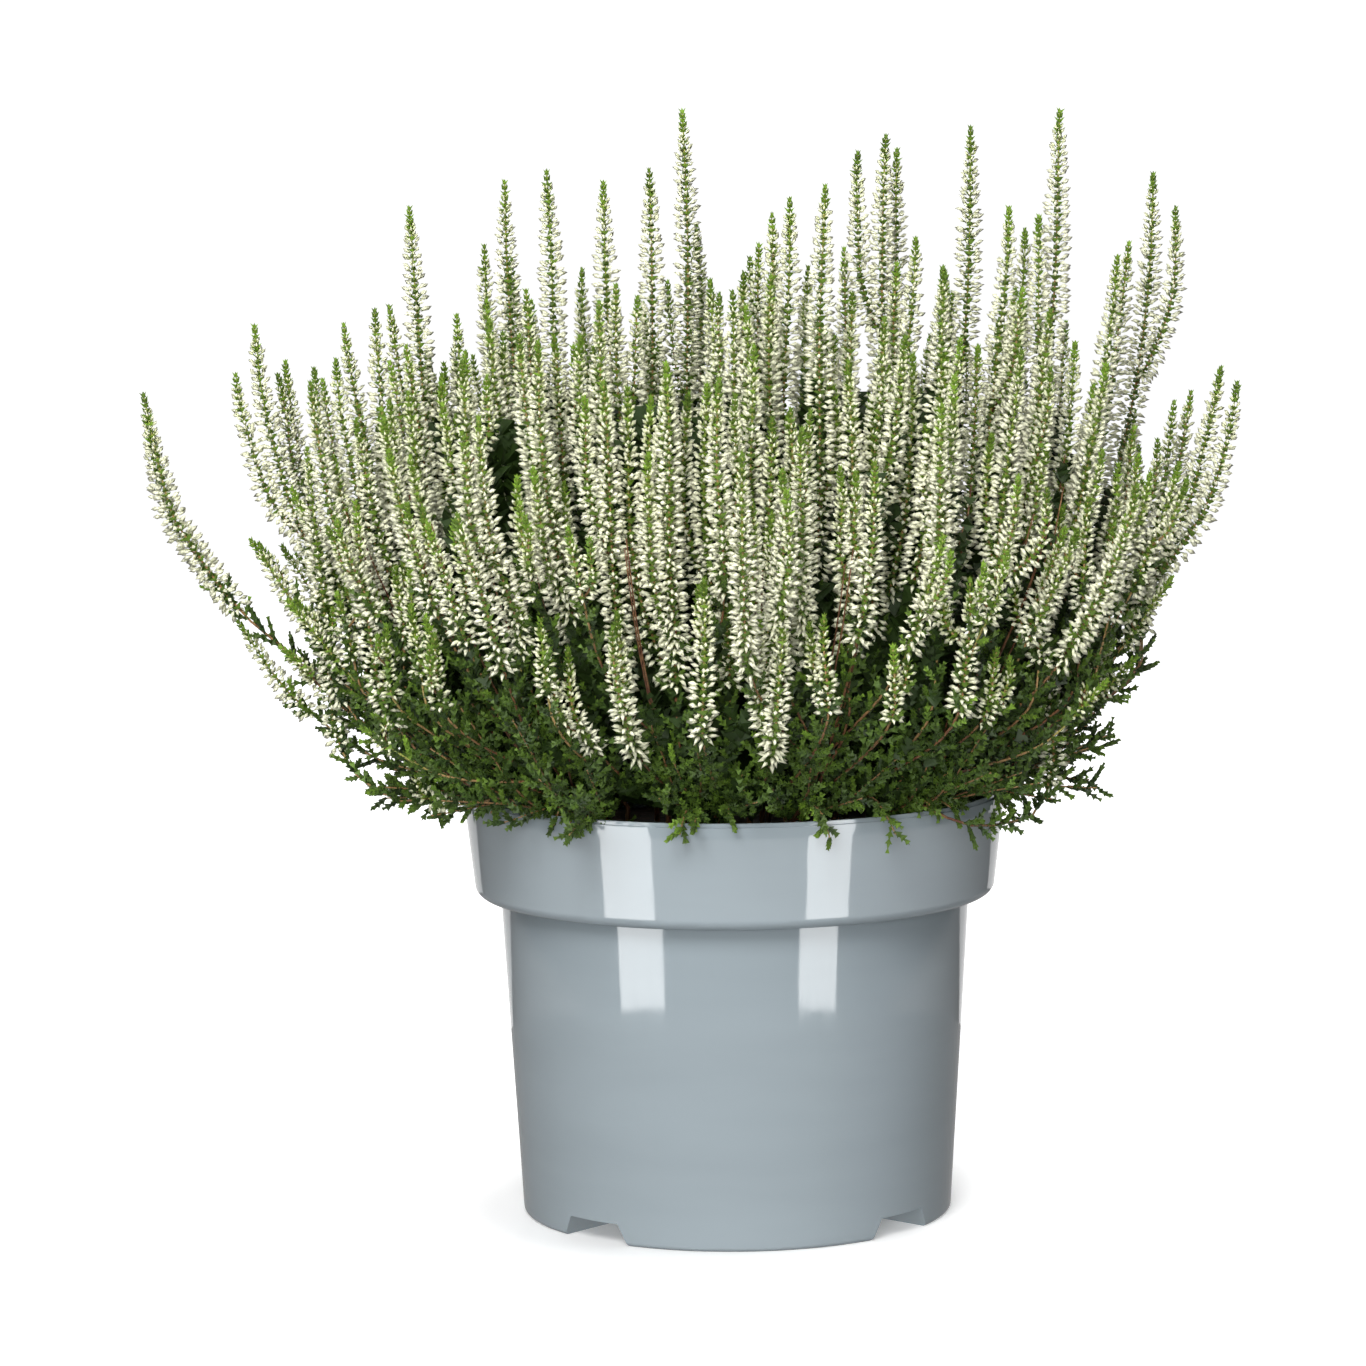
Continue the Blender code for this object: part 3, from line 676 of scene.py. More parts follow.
def arc(centre_r, centre_z, radius, start, end, steps):
    """Points of a profile's rounding, from one angle to another, in degrees."""
    points = []
    for number in range(steps + 1):
        angle = math.radians(start + (end - start) * number / steps)
        points.append((centre_r + radius * math.cos(angle), centre_z + radius * math.sin(angle)))
    return points


def straight(start, end, steps):
    """Points between two others, the first one left out."""
    return [
        tuple(a + (b - a) * number / steps for a, b in zip(start, end)) for number in range(1, steps + 1)
    ]


def turned(name, profile, segments):
    """A closed solid from a profile that runs from the axis and back to it, turned about the pot's axis."""
    points = [(AXIS.x, AXIS.y, profile[0][1])]
    for radius, height in profile[1:-1]:
        for number in range(segments):
            angle = math.tau * number / segments
            points.append((AXIS.x + radius * math.cos(angle), AXIS.y + radius * math.sin(angle), height))
    points.append((AXIS.x, AXIS.y, profile[-1][1]))
    last = len(points) - 1
    rings = len(profile) - 2
    faces = []
    for number in range(segments):
        after = (number + 1) % segments
        faces.append((0, 1 + number, 1 + after))
        for ring in range(rings - 1):
            low = 1 + ring * segments
            faces.append((low + number, low + segments + number, low + segments + after, low + after))
        start = 1 + (rings - 1) * segments
        faces.append((start + after, start + number, last))
    mesh = bpy.data.meshes.new(name)
    mesh.from_pydata(points, [], faces)
    made = bpy.data.objects.new(name, mesh)
    bpy.context.scene.collection.objects.link(made)
    return made


def channel_cross(spread):
    """The two crossed channels under the base, widened and raised by the spread."""
    slope = (CHANNEL_HALF_FOOT - CHANNEL_HALF_ROOF) / CHANNEL_HEIGHT
    bars = []
    for number in range(2):
        angle = CHANNEL_TURN + math.radians(45.0 + 90.0 * number)
        along = Vector((math.cos(angle), math.sin(angle), 0.0)) * (BASE_RADIUS + 0.01)
        across = Vector((-math.sin(angle), math.cos(angle), 0.0))
        points = []
        for height in (-0.01, CHANNEL_HEIGHT + spread):
            half = CHANNEL_HALF_FOOT + spread - slope * height
            for way, side in ((-1, -1), (1, -1), (1, 1), (-1, 1)):
                points.append(AXIS + way * along + side * half * across + Vector((0.0, 0.0, height)))
        mesh = bpy.data.meshes.new("channel")
        faces = [(3, 2, 1, 0), (4, 5, 6, 7), (0, 1, 5, 4), (1, 2, 6, 5), (2, 3, 7, 6), (3, 0, 4, 7)]
        mesh.from_pydata(points, [], faces)
        bar = bpy.data.objects.new("channel", mesh)
        bpy.context.scene.collection.objects.link(bar)
        bars.append(bar)
    cut(bars[0], bars[1], "UNION")
    return bars[0]


def drain_hole(x, y):
    profile = [(0.0, CHANNEL_HEIGHT + 0.01), (DRAIN_RADIUS, CHANNEL_HEIGHT + 0.01), (DRAIN_RADIUS, 0.0), (0.0, 0.0)]
    hole = turned("drain_hole", profile, 24)
    hole.data.transform(Matrix.Translation((x, y, 0.0)))
    return hole


def cut(target, tool, operation="DIFFERENCE"):
    """Applies one Boolean to the target's mesh, and removes the tool."""
    change = target.modifiers.new("cut", "BOOLEAN")
    change.operation = operation
    change.solver = "EXACT"
    change.object = tool
    graph = bpy.context.evaluated_depsgraph_get()
    mesh = bpy.data.meshes.new_from_object(target.evaluated_get(graph))
    target.modifiers.clear()
    target.data = mesh
    bpy.data.objects.remove(tool)


def pot_outside():
    rim, top = RIM_RADIUS, POT_HEIGHT
    lip = [
        (rim - 0.0018, top), (rim - 0.0014, top - 0.0002), (rim - 0.0013, top - 0.0006), (rim - 0.0013, top - 0.0025),
        (rim - 0.0009, top - 0.0025), (rim - 0.0009, top - 0.0019), (rim - 0.0006, top - 0.0016),
        (rim - 0.0003, top - 0.0016), (rim - 0.00008, top - 0.0018), (rim, top - 0.0022),
    ]
    fillet = 0.0045
    collar = straight(lip[-1], (COLLAR_FOOT_RADIUS, COLLAR_BOTTOM_Z + fillet), 8)
    collar += arc(COLLAR_FOOT_RADIUS - fillet, COLLAR_BOTTOM_Z + fillet, fillet, 0.0, -90.0, 9)[1:]
    shoulder = [(BODY_TOP_RADIUS + 0.0006, COLLAR_BOTTOM_Z), (BODY_TOP_RADIUS, COLLAR_BOTTOM_Z - 0.0006)]
    foot = 0.0020
    body = straight(shoulder[-1], (BASE_RADIUS + 0.0012, 0.0220), 9)
    body += straight(body[-1], (BASE_RADIUS, foot), 6)
    body += arc(BASE_RADIUS - foot, foot, foot, 0.0, -90.0, 6)[1:]
    return [(0.0, top), *lip, *collar, *shoulder, *body, (0.0, 0.0)]


def pot_inside():
    mouth = RIM_RADIUS - 0.0023
    collar = COLLAR_FOOT_RADIUS - WALL
    shoulder = COLLAR_BOTTOM_Z + WALL
    body = BODY_TOP_RADIUS - WALL
    base = BASE_RADIUS - WALL
    past = POT_HEIGHT + 0.01
    wall = straight((mouth, POT_HEIGHT - 0.0003), (collar, shoulder + 0.004), 6)
    wall += arc(collar - 0.004, shoulder + 0.004, 0.004, 0.0, -90.0, 5)[1:]
    wall += [(body, shoulder), *straight((body, shoulder), (base, FLOOR + 0.002), 8)]
    top = [(0.0, past), (mouth + 0.0004, past), (mouth + 0.0004, POT_HEIGHT), (mouth, POT_HEIGHT - 0.0003)]
    return [*top, *wall, (base - 0.002, FLOOR), (0.0, FLOOR)]


def build_pot(settings):
    pot = turned("nursery_pot", pot_outside(), settings.segments)
    inside = turned("inside", pot_inside(), settings.segments)
    cut(inside, channel_cross(WALL))
    cut(pot, inside)
    cut(pot, channel_cross(0.0))
    cut(pot, drain_hole(0.0, 0.0))
    for number in range(4):
        angle = CHANNEL_TURN + math.radians(45.0 + 90.0 * number)
        cut(pot, drain_hole(DRAIN_RING_RADIUS * math.cos(angle), DRAIN_RING_RADIUS * math.sin(angle)))
    pot.data.polygons.foreach_set("use_smooth", np.ones(len(pot.data.polygons), bool))
    pot.data.set_sharp_from_angle(angle=math.radians(32.0))
    pot.data.materials.clear()
    pot.data.materials.append(plastic_material(settings))
    return pot


def build_root_ball(settings):
    clear = WALL + GAP + 0.0002
    collar = COLLAR_FOOT_RADIUS - clear
    ledge = COLLAR_BOTTOM_Z + WALL + GAP
    top = [(collar * ring / 30, SOIL_TOP_Z) for ring in range(31)]
    sides = straight(top[-1], (collar, ledge + 0.004), 3)
    sides += [(collar - 0.004, ledge), (BODY_TOP_RADIUS - clear, ledge), (BASE_RADIUS - clear, FLOOR + GAP + 0.002)]
    sides += [(BASE_RADIUS - clear - 0.002, FLOOR + GAP), (0.0, FLOOR + GAP)]
    ball = turned("root_ball", top + sides, 112)
    for vertex in ball.data.vertices:
        if vertex.co.z > SOIL_TOP_Z - 0.0001:
            place = Vector((vertex.co.x, vertex.co.y, 0.0))
            lumps = noise.fractal(place * 40.0, 0.9, 2.1, 5)
            vertex.co.z += settings.roughness * (0.8 * lumps - 0.3)
    cut(ball, channel_cross(WALL + GAP))
    ball.data.polygons.foreach_set("use_smooth", np.ones(len(ball.data.polygons), bool))
    ball.data.set_sharp_from_angle(angle=math.radians(50.0))
    ball.data.materials.clear()
    ball.data.materials.append(peat_material(settings))
    return ball


# The flower spikes

PATH_POINTS = 15
GREEN_TIP = 0.0100
FLOWER_LENGTH = 0.150
SHORTEST_FLOWERS = 0.030
OUTER_FROM = 0.60
FLOWERS_LOW_FROM = 0.48
FLOWERS_FROM_Z = (0.240, 0.280)
INNER_FLOWERS_FROM_Z = (0.290, 0.330)
BUD_PITCH = 0.0019
BRACT_PITCH = 0.0025
BUDS_ROUND = 4


# Tips of low spikes that lean out to the sides, from the pot's axis, by the number of their stem
LEANING_TIPS_MM = {
    3: ((-150, 222),), 7: ((-184, 268),), 10: ((-190, 246), (-200, 292), (-184, 312)), 21: ((-190, 280),),
    4: ((152, 236),), 11: ((168, 240), (184, 272)), 15: ((190, 286), (196, 310)), 20: ((170, 240),),
}
# The rings of low spikes: how far out they stand, the heights of their tops, and where their flowers start
LOW_RINGS = (((0.148, 0.174), (0.250, 0.312), (0.206, 0.234)), ((0.116, 0.146), (0.305, 0.372), (0.236, 0.262)))
# At the flanks, the flowers start higher and the inside is filled further out with the dark leaves of painted shade
FLANK_FROM = 0.55
FLANK_RISE = 0.030
FLANK_WIDER = 0.13
# Low shoots at the sides: the height where their flowers start, and places from the pot's axis, by their stem's number
LOW_SHOOTS_MM = {
    3: (
        (184, (-95, -66, 186), (-118, -62, 183), (-129, -60, 187), (-132, -60, 196), (-135, -60, 208)),
        (220, (-95, -74, 187), (-128, -80, 206), (-142, -80, 226), (-148, -80, 256), (-153, -80, 311)),
    ),
    7: ((206, (-102, -50, 186), (-141, -50, 184), (-156, -40, 191), (-166, -30, 206), (-169, -30, 232), (-169, -30, 268)),),
    10: ((232, (-112, -30, 190), (-150, -34, 206), (-166, -36, 232), (-170, -36, 262), (-176, -36, 330)),),
    14: ((218, (-128, -20, 190), (-154, -10, 197), (-172, 0, 208), (-188, 0, 222), (-210, 0, 254)),),
    4: (
        (196, (75, -80, 185), (90, -88, 178), (112, -66, 174), (126, -50, 177), (132, -44, 190), (132, -36, 225),
         (129, -30, 262)),
    ),
    11: ((220, (110, -25, 188), (135, -18, 195), (148, -8, 210), (153, 0, 228), (154, 0, 256)),),
}


class Spike:
    """The line of one flowering shoot, with the height where its buds start."""

    def __init__(self, path, flowers_from, fullness):
        self.path = path
        self.fullness = fullness
        self.near = path[-1, 1] < AXIS.y + 0.01
        steps = np.linalg.norm(np.diff(path, axis=0), axis=1)
        self.length = float(steps.sum())
        self.shares = np.concatenate(((0.0,), np.cumsum(steps))) / self.length
        self.flowers_z = flowers_from
        self.flowers_from = float(np.interp(flowers_from, path[:, 2], self.shares))

    def share_at(self, number):
        return float(self.shares[number])


def swayed(path, chance, amount):
    """The path with a slow sideways wave that is nothing at its foot."""
    rise = np.linspace(0.0, 1.0, len(path))
    for axis in range(2):
        phase = chance.uniform(0.0, math.tau)
        waves = chance.uniform(0.7, 1.6)
        path[:, axis] += amount * np.minimum(1.0, 3.0 * rise) * np.sin(phase + waves * math.tau * rise)
    return path


def main_spike(shoot, chance):
    heights = np.linspace(shoot.fork_z, shoot.tip_z, PATH_POINTS)
    path = swayed(shoot.path(heights), chance, 0.0011)
    lowest = chance.uniform(*(FLOWERS_FROM_Z if shoot.place.length > FLOWERS_LOW_FROM else INNER_FLOWERS_FROM_Z))
    flowers_from = max(lowest, shoot.tip_z - FLOWER_LENGTH - GREEN_TIP)
    return Spike(path, min(flowers_from, shoot.tip_z - SHORTEST_FLOWERS), chance.uniform(0.9, 1.1))


def side_spike(spike, chance, start, length, reach):
    """A shoot that leaves the spike's line, and soon runs up beside it."""
    shares = np.linspace(start, min(0.97, start + length / spike.length), PATH_POINTS)
    points, ways = along_path(spike.path, shares)
    rise = np.linspace(0.0, 1.0, PATH_POINTS)
    out = round_axis(ways, np.full(PATH_POINTS, chance.uniform(0.0, math.tau)))
    path = points + out * (reach * np.sin(np.minimum(1.0, 1.8 * rise) * math.pi / 2.0))[:, None]
    path = swayed(path, chance, 0.0006)
    return Spike(path, path[0, 2] + 0.004, chance.uniform(0.8, 1.0))


def low_spike(stem, turn, ring, chance):
    """A short upright spike outside the taller ones, which flowers lower than they do."""
    reach, tops, lowest = LOW_RINGS[ring]
    angle = math.atan2(stem.place.y, stem.place.x) + turn
    heights = np.linspace(0.190, chance.uniform(*tops), PATH_POINTS)
    rise = np.clip((heights - heights[0]) / 0.045, 0.0, 1.0)
    start, out = 0.090, chance.uniform(*reach)
    lean = math.tan(math.radians(chance.uniform(0.0, 11.0)))
    radii = start + (out - start) * np.sin(rise * math.pi / 2.0) + lean * np.maximum(0.0, heights - 0.228)
    path = np.stack((AXIS.x + radii * math.cos(angle), AXIS.y + radii * math.sin(angle), heights), axis=1)
    flowers_from = chance.uniform(*lowest) + (FLANK_RISE if abs(stem.place.x) > FLANK_FROM else 0.0)
    flowers_from = min(flowers_from, heights[-1] - SHORTEST_FLOWERS)
    return Spike(swayed(path, chance, 0.0010), flowers_from, chance.uniform(0.9, 1.15))


def leaning_spike(stem, tip, chance):
    """A low spike that leans far out of the bush's side, to a tip of the photograph's outline."""
    start = stem.path(np.array((0.196,)))[0]
    end = np.array((AXIS.x + tip[0] / 1000.0, start[1] + chance.uniform(-0.02, 0.02), tip[1] / 1000.0))
    middle = 0.5 * (start + end) + (0.10 * (end[0] - start[0]), 0.0, -0.10 * abs(end[0] - start[0]))
    return Spike(smooth_path(np.array((start, middle, end))), end[2] - 0.38 * (end[2] - start[2]), 0.85)


def low_shoot(stem, flowers_from, *places):
    """A shoot that lies over the rim and then turns up, along places in mm from the pot's axis."""
    points = [stem.path(np.array((0.178,)))[0]]
    points += [(AXIS.x + x / 1000.0, AXIS.y + y / 1000.0, z / 1000.0) for x, y, z in places]
    path = smooth_path(np.array(points))
    last = np.flatnonzero(path[:, 2] < flowers_from / 1000.0)[-1]
    spike = Spike(path, flowers_from / 1000.0, 0.9)
    spike.flowers_from = spike.share_at(last)
    return spike


def add_buds(growth, spike, settings, chance):
    """Buds round the spike: small and upright at the top, level lower down, and hanging at the foot."""
    start, end = spike.flowers_from, 1.0 - GREEN_TIP * 0.75 / spike.length
    if end <= start:
        return
    rows = max(3, int((end - start) * spike.length / BUD_PITCH))
    share = np.repeat((np.arange(rows) + 0.5) / rows, BUDS_ROUND)
    turn = np.repeat(np.arange(rows) * math.radians(45.0 + 9.0), BUDS_ROUND)
    turn = turn + np.tile(np.arange(BUDS_ROUND) * math.tau / BUDS_ROUND, rows)
    count = len(share)
    turn = turn + chance.normal(0.0, 0.22, count)
    at = start + (end - start) * np.clip(share + chance.normal(0.0, 0.35 / rows, count), 0.0, 1.0)
    points, ways = along_path(spike.path, at)
    out = round_axis(ways, turn)
    below_top = (end - at) * spike.length
    above_foot = (at - start) * spike.length
    grown = np.clip(below_top / 0.035, 0.0, 1.0) ** 0.7
    lean = np.interp(below_top, (0.0, 0.006, 0.025, 0.070, 0.130), (0.50, 0.85, 1.15, 1.45, 1.66))
    lean = lean + np.interp(above_foot, (0.0, 0.010, 0.030), (0.60, 0.25, 0.0))
    lean = lean + chance.normal(0.0, 0.14, count)
    direction = np.cos(lean)[:, None] * ways + np.sin(lean)[:, None] * out
    side = unit(np.cross(direction, ways + 1e-4))
    length = settings.bud_length * (0.52 + 0.48 * grown) * chance.uniform(0.88, 1.1, count)
    width = 0.5 * settings.bud_width * (0.68 + 0.32 * grown) * chance.uniform(0.9, 1.12, count)
    reach = np.interp(below_top, (0.0, 0.010, 0.040, 0.110), (0.0004, 0.0006, 0.0011, 0.0020)) * spike.fullness
    feet = points + out * (reach + chance.uniform(0.0, 0.0006, count))[:, None]
    youth = np.clip(1.0 - below_top / 0.026, 0.0, 1.0) * 0.9 + chance.uniform(0.0, 0.22)
    form = BUD_FORM if spike.near else FAR_BUD_FORM
    growth.add_forms(form, BUD, feet, direction, side, length, width, chance.uniform(0.0, 1.0, count), youth)


def add_bracts(growth, spike, chance):
    """Small green bracts along the axis, between the feet of the buds."""
    start, end = spike.flowers_from, 1.0 - GREEN_TIP / spike.length
    rows = int((end - start) * spike.length / BRACT_PITCH)
    if rows < 2:
        return
    at = start + (end - start) * (np.arange(rows) + 0.5) / rows
    points, ways = along_path(spike.path, at)
    reach = np.interp((1.0 - at) * spike.length, (0.0, 0.010, 0.050), (0.0013, 0.0021, 0.0027))
    reach = reach * chance.uniform(0.8, 1.15, rows)
    youth = np.interp((1.0 - at) * spike.length, (0.0, 0.03, 0.10), (0.85, 0.64, 0.44))
    turns = np.arange(rows) * math.pi / 2.0 + 0.4
    add_pairs(growth, points, ways, turns, reach, 0.55 * reach, chance.uniform(0.2, 0.8, rows), youth)


def add_green_tip(growth, spike, chance, youth):
    """The growing tip: whorls of young green buds, packed closer towards the end."""
    length = min(GREEN_TIP * chance.uniform(0.85, 1.25), 0.5 * spike.length)
    start = 1.0 - length / spike.length
    rows = 5
    at = np.repeat(start + (1.0 - start) * (np.arange(rows) / rows) ** 0.92, 4)
    turn = np.repeat(np.arange(rows) * math.radians(45.0), 4) + np.tile(np.arange(4) * math.tau / 4.0, rows)
    count = len(at)
    points, ways = along_path(spike.path, at)
    out = round_axis(ways, turn + chance.normal(0.0, 0.12, count))
    above = (at - start) / (1.0 - start)
    lean = np.interp(above, (0.0, 0.6, 0.9, 1.0), (0.80, 0.62, 0.30, 0.12)) + chance.normal(0.0, 0.10, count)
    direction = np.cos(lean)[:, None] * ways + np.sin(lean)[:, None] * out
    side = unit(np.cross(direction, out))
    leaf = np.interp(above, (0.0, 0.7, 1.0), (0.0034, 0.0031, 0.0026)) * chance.uniform(0.9, 1.1, count)
    leaf = np.minimum(leaf, (1.0 - at) * spike.length + 0.0014)
    growth.add_forms(
        LEAF_FORM, LEAF, points + out * 0.0003, direction, side, leaf, 0.38 * leaf,
        chance.uniform(0.2, 0.8, count), np.full(count, youth),
    )


def add_axes(growth, spikes, chance, foot_radius, tip_radius, greenness, sides):
    paths = np.stack([spike.path for spike in spikes])
    if sides < 4:
        paths = paths[:, ::2]
    rings = paths.shape[1]
    radii = np.linspace(foot_radius, tip_radius, rings)[None] * np.ones((len(spikes), 1))
    green = chance.uniform(-0.2, 0.25, (len(spikes), 1))
    youth = np.clip(np.linspace(greenness, 1.0, rings)[None] + green, 0.0, 1.0)
    growth.add_tubes(paths, radii, sides, chance.uniform(0.0, 1.0, len(spikes)), youth, BARK)


def build_spray(number, stem, materials, settings, leaf_settings):
    chance = np.random.default_rng((SEED, number))
    growth = Growth()
    spikes = [main_spike(shoot, chance) for shoot in stem.spikes]
    if stem.place.length > OUTER_FROM:
        count = 7 if stem.place.y < 0.1 else 5
        for place in range(count):
            turn = 0.25 * (2.0 * place / (count - 1) - 1.0) + chance.uniform(-0.03, 0.03)
            spikes.append(low_spike(stem, turn, place % 2, chance))
        spikes += [leaning_spike(stem, tip, chance) for tip in LEANING_TIPS_MM.get(number, ())]
    low = [low_shoot(stem, *shoot) for shoot in LOW_SHOOTS_MM.get(number, ())]
    sides = []
    for spike in spikes:
        if spike.path[-1, 1] < AXIS.y - 0.03 or chance.uniform() < 0.4:
            start = chance.uniform(spike.flowers_from, 0.5 + 0.5 * spike.flowers_from)
            sides.append(side_spike(spike, chance, start, chance.uniform(0.045, 0.100), chance.uniform(0.007, 0.012)))
        elif spike.path[-1, 2] < 0.40:
            start = chance.uniform(spike.flowers_from, 0.4 + 0.6 * spike.flowers_from)
            sides.append(side_spike(spike, chance, start, chance.uniform(0.06, 0.110), chance.uniform(0.010, 0.014)))
    for spike in spikes + sides + low:
        add_buds(growth, spike, settings, chance)
        add_bracts(growth, spike, chance)
        add_green_tip(growth, spike, chance, chance.uniform(0.6, 1.0))
    add_axes(growth, spikes + low, chance, 0.0006, 0.0004, -0.15, 4)
    add_axes(growth, sides, chance, 0.0005, 0.0003, 0.20, 3)
    for spike in spikes:
        top = spike.flowers_from + 0.012 / spike.length
        pitch = 0.0032 if stem.place.length > OUTER_FROM and spike.near else 0.0090
        add_twigs(growth, spike.path, 0.03, top, pitch, leaf_settings, chance, 0.18)
        wider = FLANK_WIDER if abs(stem.place.x) > FLANK_FROM else 0.0
        # Dark leaves of painted shade deep in the bush, below the flowers
        add_filling(growth, spike.path, chance, wider, below=spike.flowers_z)
    for spike in low:
        top = spike.flowers_from + 0.012 / spike.length
        add_twigs(growth, spike.path, 0.25, top, 0.0026, leaf_settings, chance, 0.2, droop=0.3)
    return growth.made(f"heather_spray_{number:02d}", materials)


# The leafy stems

TWIG_LEVELS = 7
FILLING_PITCH = 0.0026
FILLING_REACH = (0.0036, 0.0064)
# How far out the bush is filled with dark leaves, whose dark colour is painted shade, as a share of its reach, by
# height
FILLED_TO = ((0.170, 0.80), (0.230, 0.84), (0.300, 0.80), (0.335, 0.70), (0.355, 0.45), (0.365, 0.0))
# The tops of the shoots inside the bush that bear the dark leaves of painted shade, by their share of its reach
INNER_TOPS = ((0.0, 0.352), (0.5, 0.345), (0.75, 0.325), (0.90, 0.288), (1.0, 0.250))
INNER_SHOOTS = 5


def add_pairs(growth, points, ways, turns, reach, rise, chances, youth):
    """Pairs of opposite leaves across a shoot."""
    sides = round_axis(ways, turns)
    shape, faces = LEAF_PAIR_FORM
    other = np.cross(ways, sides)
    corners = points[:, None] + shape[None, :, 2, None] * (ways * rise[:, None])[:, None]
    corners = corners + shape[None, :, 0, None] * (sides * reach[:, None])[:, None]
    corners = corners + shape[None, :, 1, None] * (other * reach[:, None])[:, None]
    count = len(points)
    tints = np.ones((count, 4, 4))
    tints[..., 0] = PAIR_TIPS
    tints[..., 1] = chances[:, None]
    tints[..., 2] = youth[:, None]
    starts = 4 * np.arange(count)[:, None, None]
    growth.add(corners.reshape(-1, 3), (faces[None] + starts).reshape(-1, 3), tints.reshape(-1, 4), LEAF)


def add_filling(growth, path, chance, wider=0.0, pitch=FILLING_PITCH, below=1.0):
    """Coarse leaves round the part of a shoot that is deep in the bush, the largest furthest in. They are leaves of the
    bush's inside, given the darkest leaf colour as painted shade.
    """
    span = float(np.linalg.norm(np.diff(path, axis=0), axis=1).sum())
    count = int(span / pitch)
    points, ways = along_path(path, (np.arange(count) + chance.uniform(0.0, 1.0, count)) / count)
    radii = np.hypot(points[:, 0] - AXIS.x, points[:, 1] - AXIS.y) / reach_at(points[:, 2])
    heights, shares = zip(*FILLED_TO)
    deep = radii < wider + np.interp(points[:, 2] + chance.normal(0.0, 0.006, count), heights, shares)
    deep &= points[:, 2] < below
    points, ways, radii = points[deep], ways[deep], radii[deep]
    count = len(points)
    if count:
        reach = chance.uniform(*FILLING_REACH, count) * np.interp(points[:, 2], (0.25, 0.36), (1.0, 0.7))
        reach = reach * np.interp(radii, (0.45, 0.85), (1.8, 0.6))
        turns = chance.uniform(0.0, math.pi, count)
        # Painted shade: the filling takes the dark half of the random brightness and the oldest, darkest leaf colour
        chances = chance.uniform(0.0, 0.5, count)
        add_pairs(growth, points, ways, turns, reach, 0.8 * reach, chances, np.full(count, 0.05))


def add_twigs(growth, path, start, end, pitch, settings, chance, youth, droop=0.0, lengths=(0.6, 1.15)):
    """Leafy twigs along a stretch of a stem. Each bears crossed pairs of scale leaves, and bends up."""
    span = float(np.linalg.norm(np.diff(path, axis=0), axis=1).sum())
    count = int((end - start) * span / pitch)
    if count < 1:
        return
    at = np.clip(start + (end - start) * (np.arange(count) + chance.uniform(0.0, 1.0, count)) / count, 0.0, 1.0)
    points, ways = along_path(path, at)
    out = round_axis(ways, np.arange(count) * 2.4 + chance.normal(0.0, 0.4, count))
    lean = chance.uniform(0.50, 1.05, count)
    direction = unit(np.cos(lean)[:, None] * ways + np.sin(lean)[:, None] * out)
    length = settings.twig_length * chance.uniform(*lengths, count)
    bend = np.zeros((count, 3))
    bend[:, 2] = chance.uniform(0.1, 0.8, count) - droop * chance.uniform(0.6, 1.4, count)
    ages = np.clip(chance.normal(youth, 0.14, count), 0.0, 1.0)
    add_twig_batch(growth, points, direction, bend, length, chance, ages)


def add_twig_batch(growth, feet, direction, bend, length, chance, youth):
    count = len(feet)
    steps = np.linspace(0.0, 1.0, TWIG_LEVELS + 1)
    paths = feet[:, None] + length[:, None, None] * (
        steps[None, :, None] * direction[:, None] + 0.5 * steps[None, :, None] ** 2 * bend[:, None]
    )
    slopes = unit(direction[:, None] + steps[None, :, None] * bend[:, None])
    chances = chance.uniform(0.0, 1.0, count)
    start = chance.uniform(0.0, math.pi, count)
    core = paths[:, (0, TWIG_LEVELS - 1)]
    growth.add_tubes(core, np.tile((0.0005, 0.0003), (count, 1)), 3, chances, np.zeros((count, 2)), LEAF)
    for level in range(TWIG_LEVELS):
        share = level / (TWIG_LEVELS - 1)
        reach = settings_reach(share) * chance.uniform(0.85, 1.12, count)
        rise = reach * np.interp(share, (0.0, 0.7, 1.0), (0.95, 1.15, 2.0))
        add_pairs(
            growth, paths[:, level], slopes[:, level], start + level * math.pi / 2.0, reach, rise,
            np.clip(chances + chance.normal(0.0, 0.13, count), 0.0, 1.0),
            np.clip(youth + 0.24 * share**2, 0.0, 1.0),
        )


def settings_reach(share):
    return LEAF_REACH * float(np.interp(share, (0.0, 0.2, 0.75, 1.0), (0.65, 1.0, 0.95, 0.50)))


LEAF_REACH = 0.00180


def inner_path(stem, chance):
    """Up through the inside of the bush, between its stem's spikes."""
    place = stem.place + Vector(chance.uniform(-0.20, 0.20, 2))
    shoot = Shoot(place * min(1.0, 0.84 / place.length))
    shoot.stem = stem
    shoot.fork_z = 0.186
    shares, tops = zip(*INNER_TOPS)
    shoot.tip_z = float(np.interp(shoot.place.length, shares, tops)) + chance.uniform(-0.015, 0.005)
    return shoot.path(np.linspace(shoot.fork_z, shoot.tip_z, PATH_POINTS))


def trailing_path(stem, chance):
    """Over the rim and a little down outside it."""
    angle = math.atan2(stem.place.y, stem.place.x) + math.radians(chance.uniform(-13.0, 13.0))
    crest, rise = 0.111, chance.uniform(0.003, 0.008)
    out = chance.uniform(0.1165, 0.128)
    end = chance.uniform(-0.008, 0.007)
    radii = (crest - 1.5 * rise, crest, 0.5 * (crest + out), out)
    heights = (0.9 * rise, rise, 0.7 * rise + 0.5 * end, end)
    points = [stem.path(np.array((0.180,)))[0]]
    for radius, height in zip(radii, heights):
        points.append((AXIS.x + radius * math.cos(angle), AXIS.y + radius * math.sin(angle), POT_HEIGHT + height))
    return smooth_path(np.array(points))


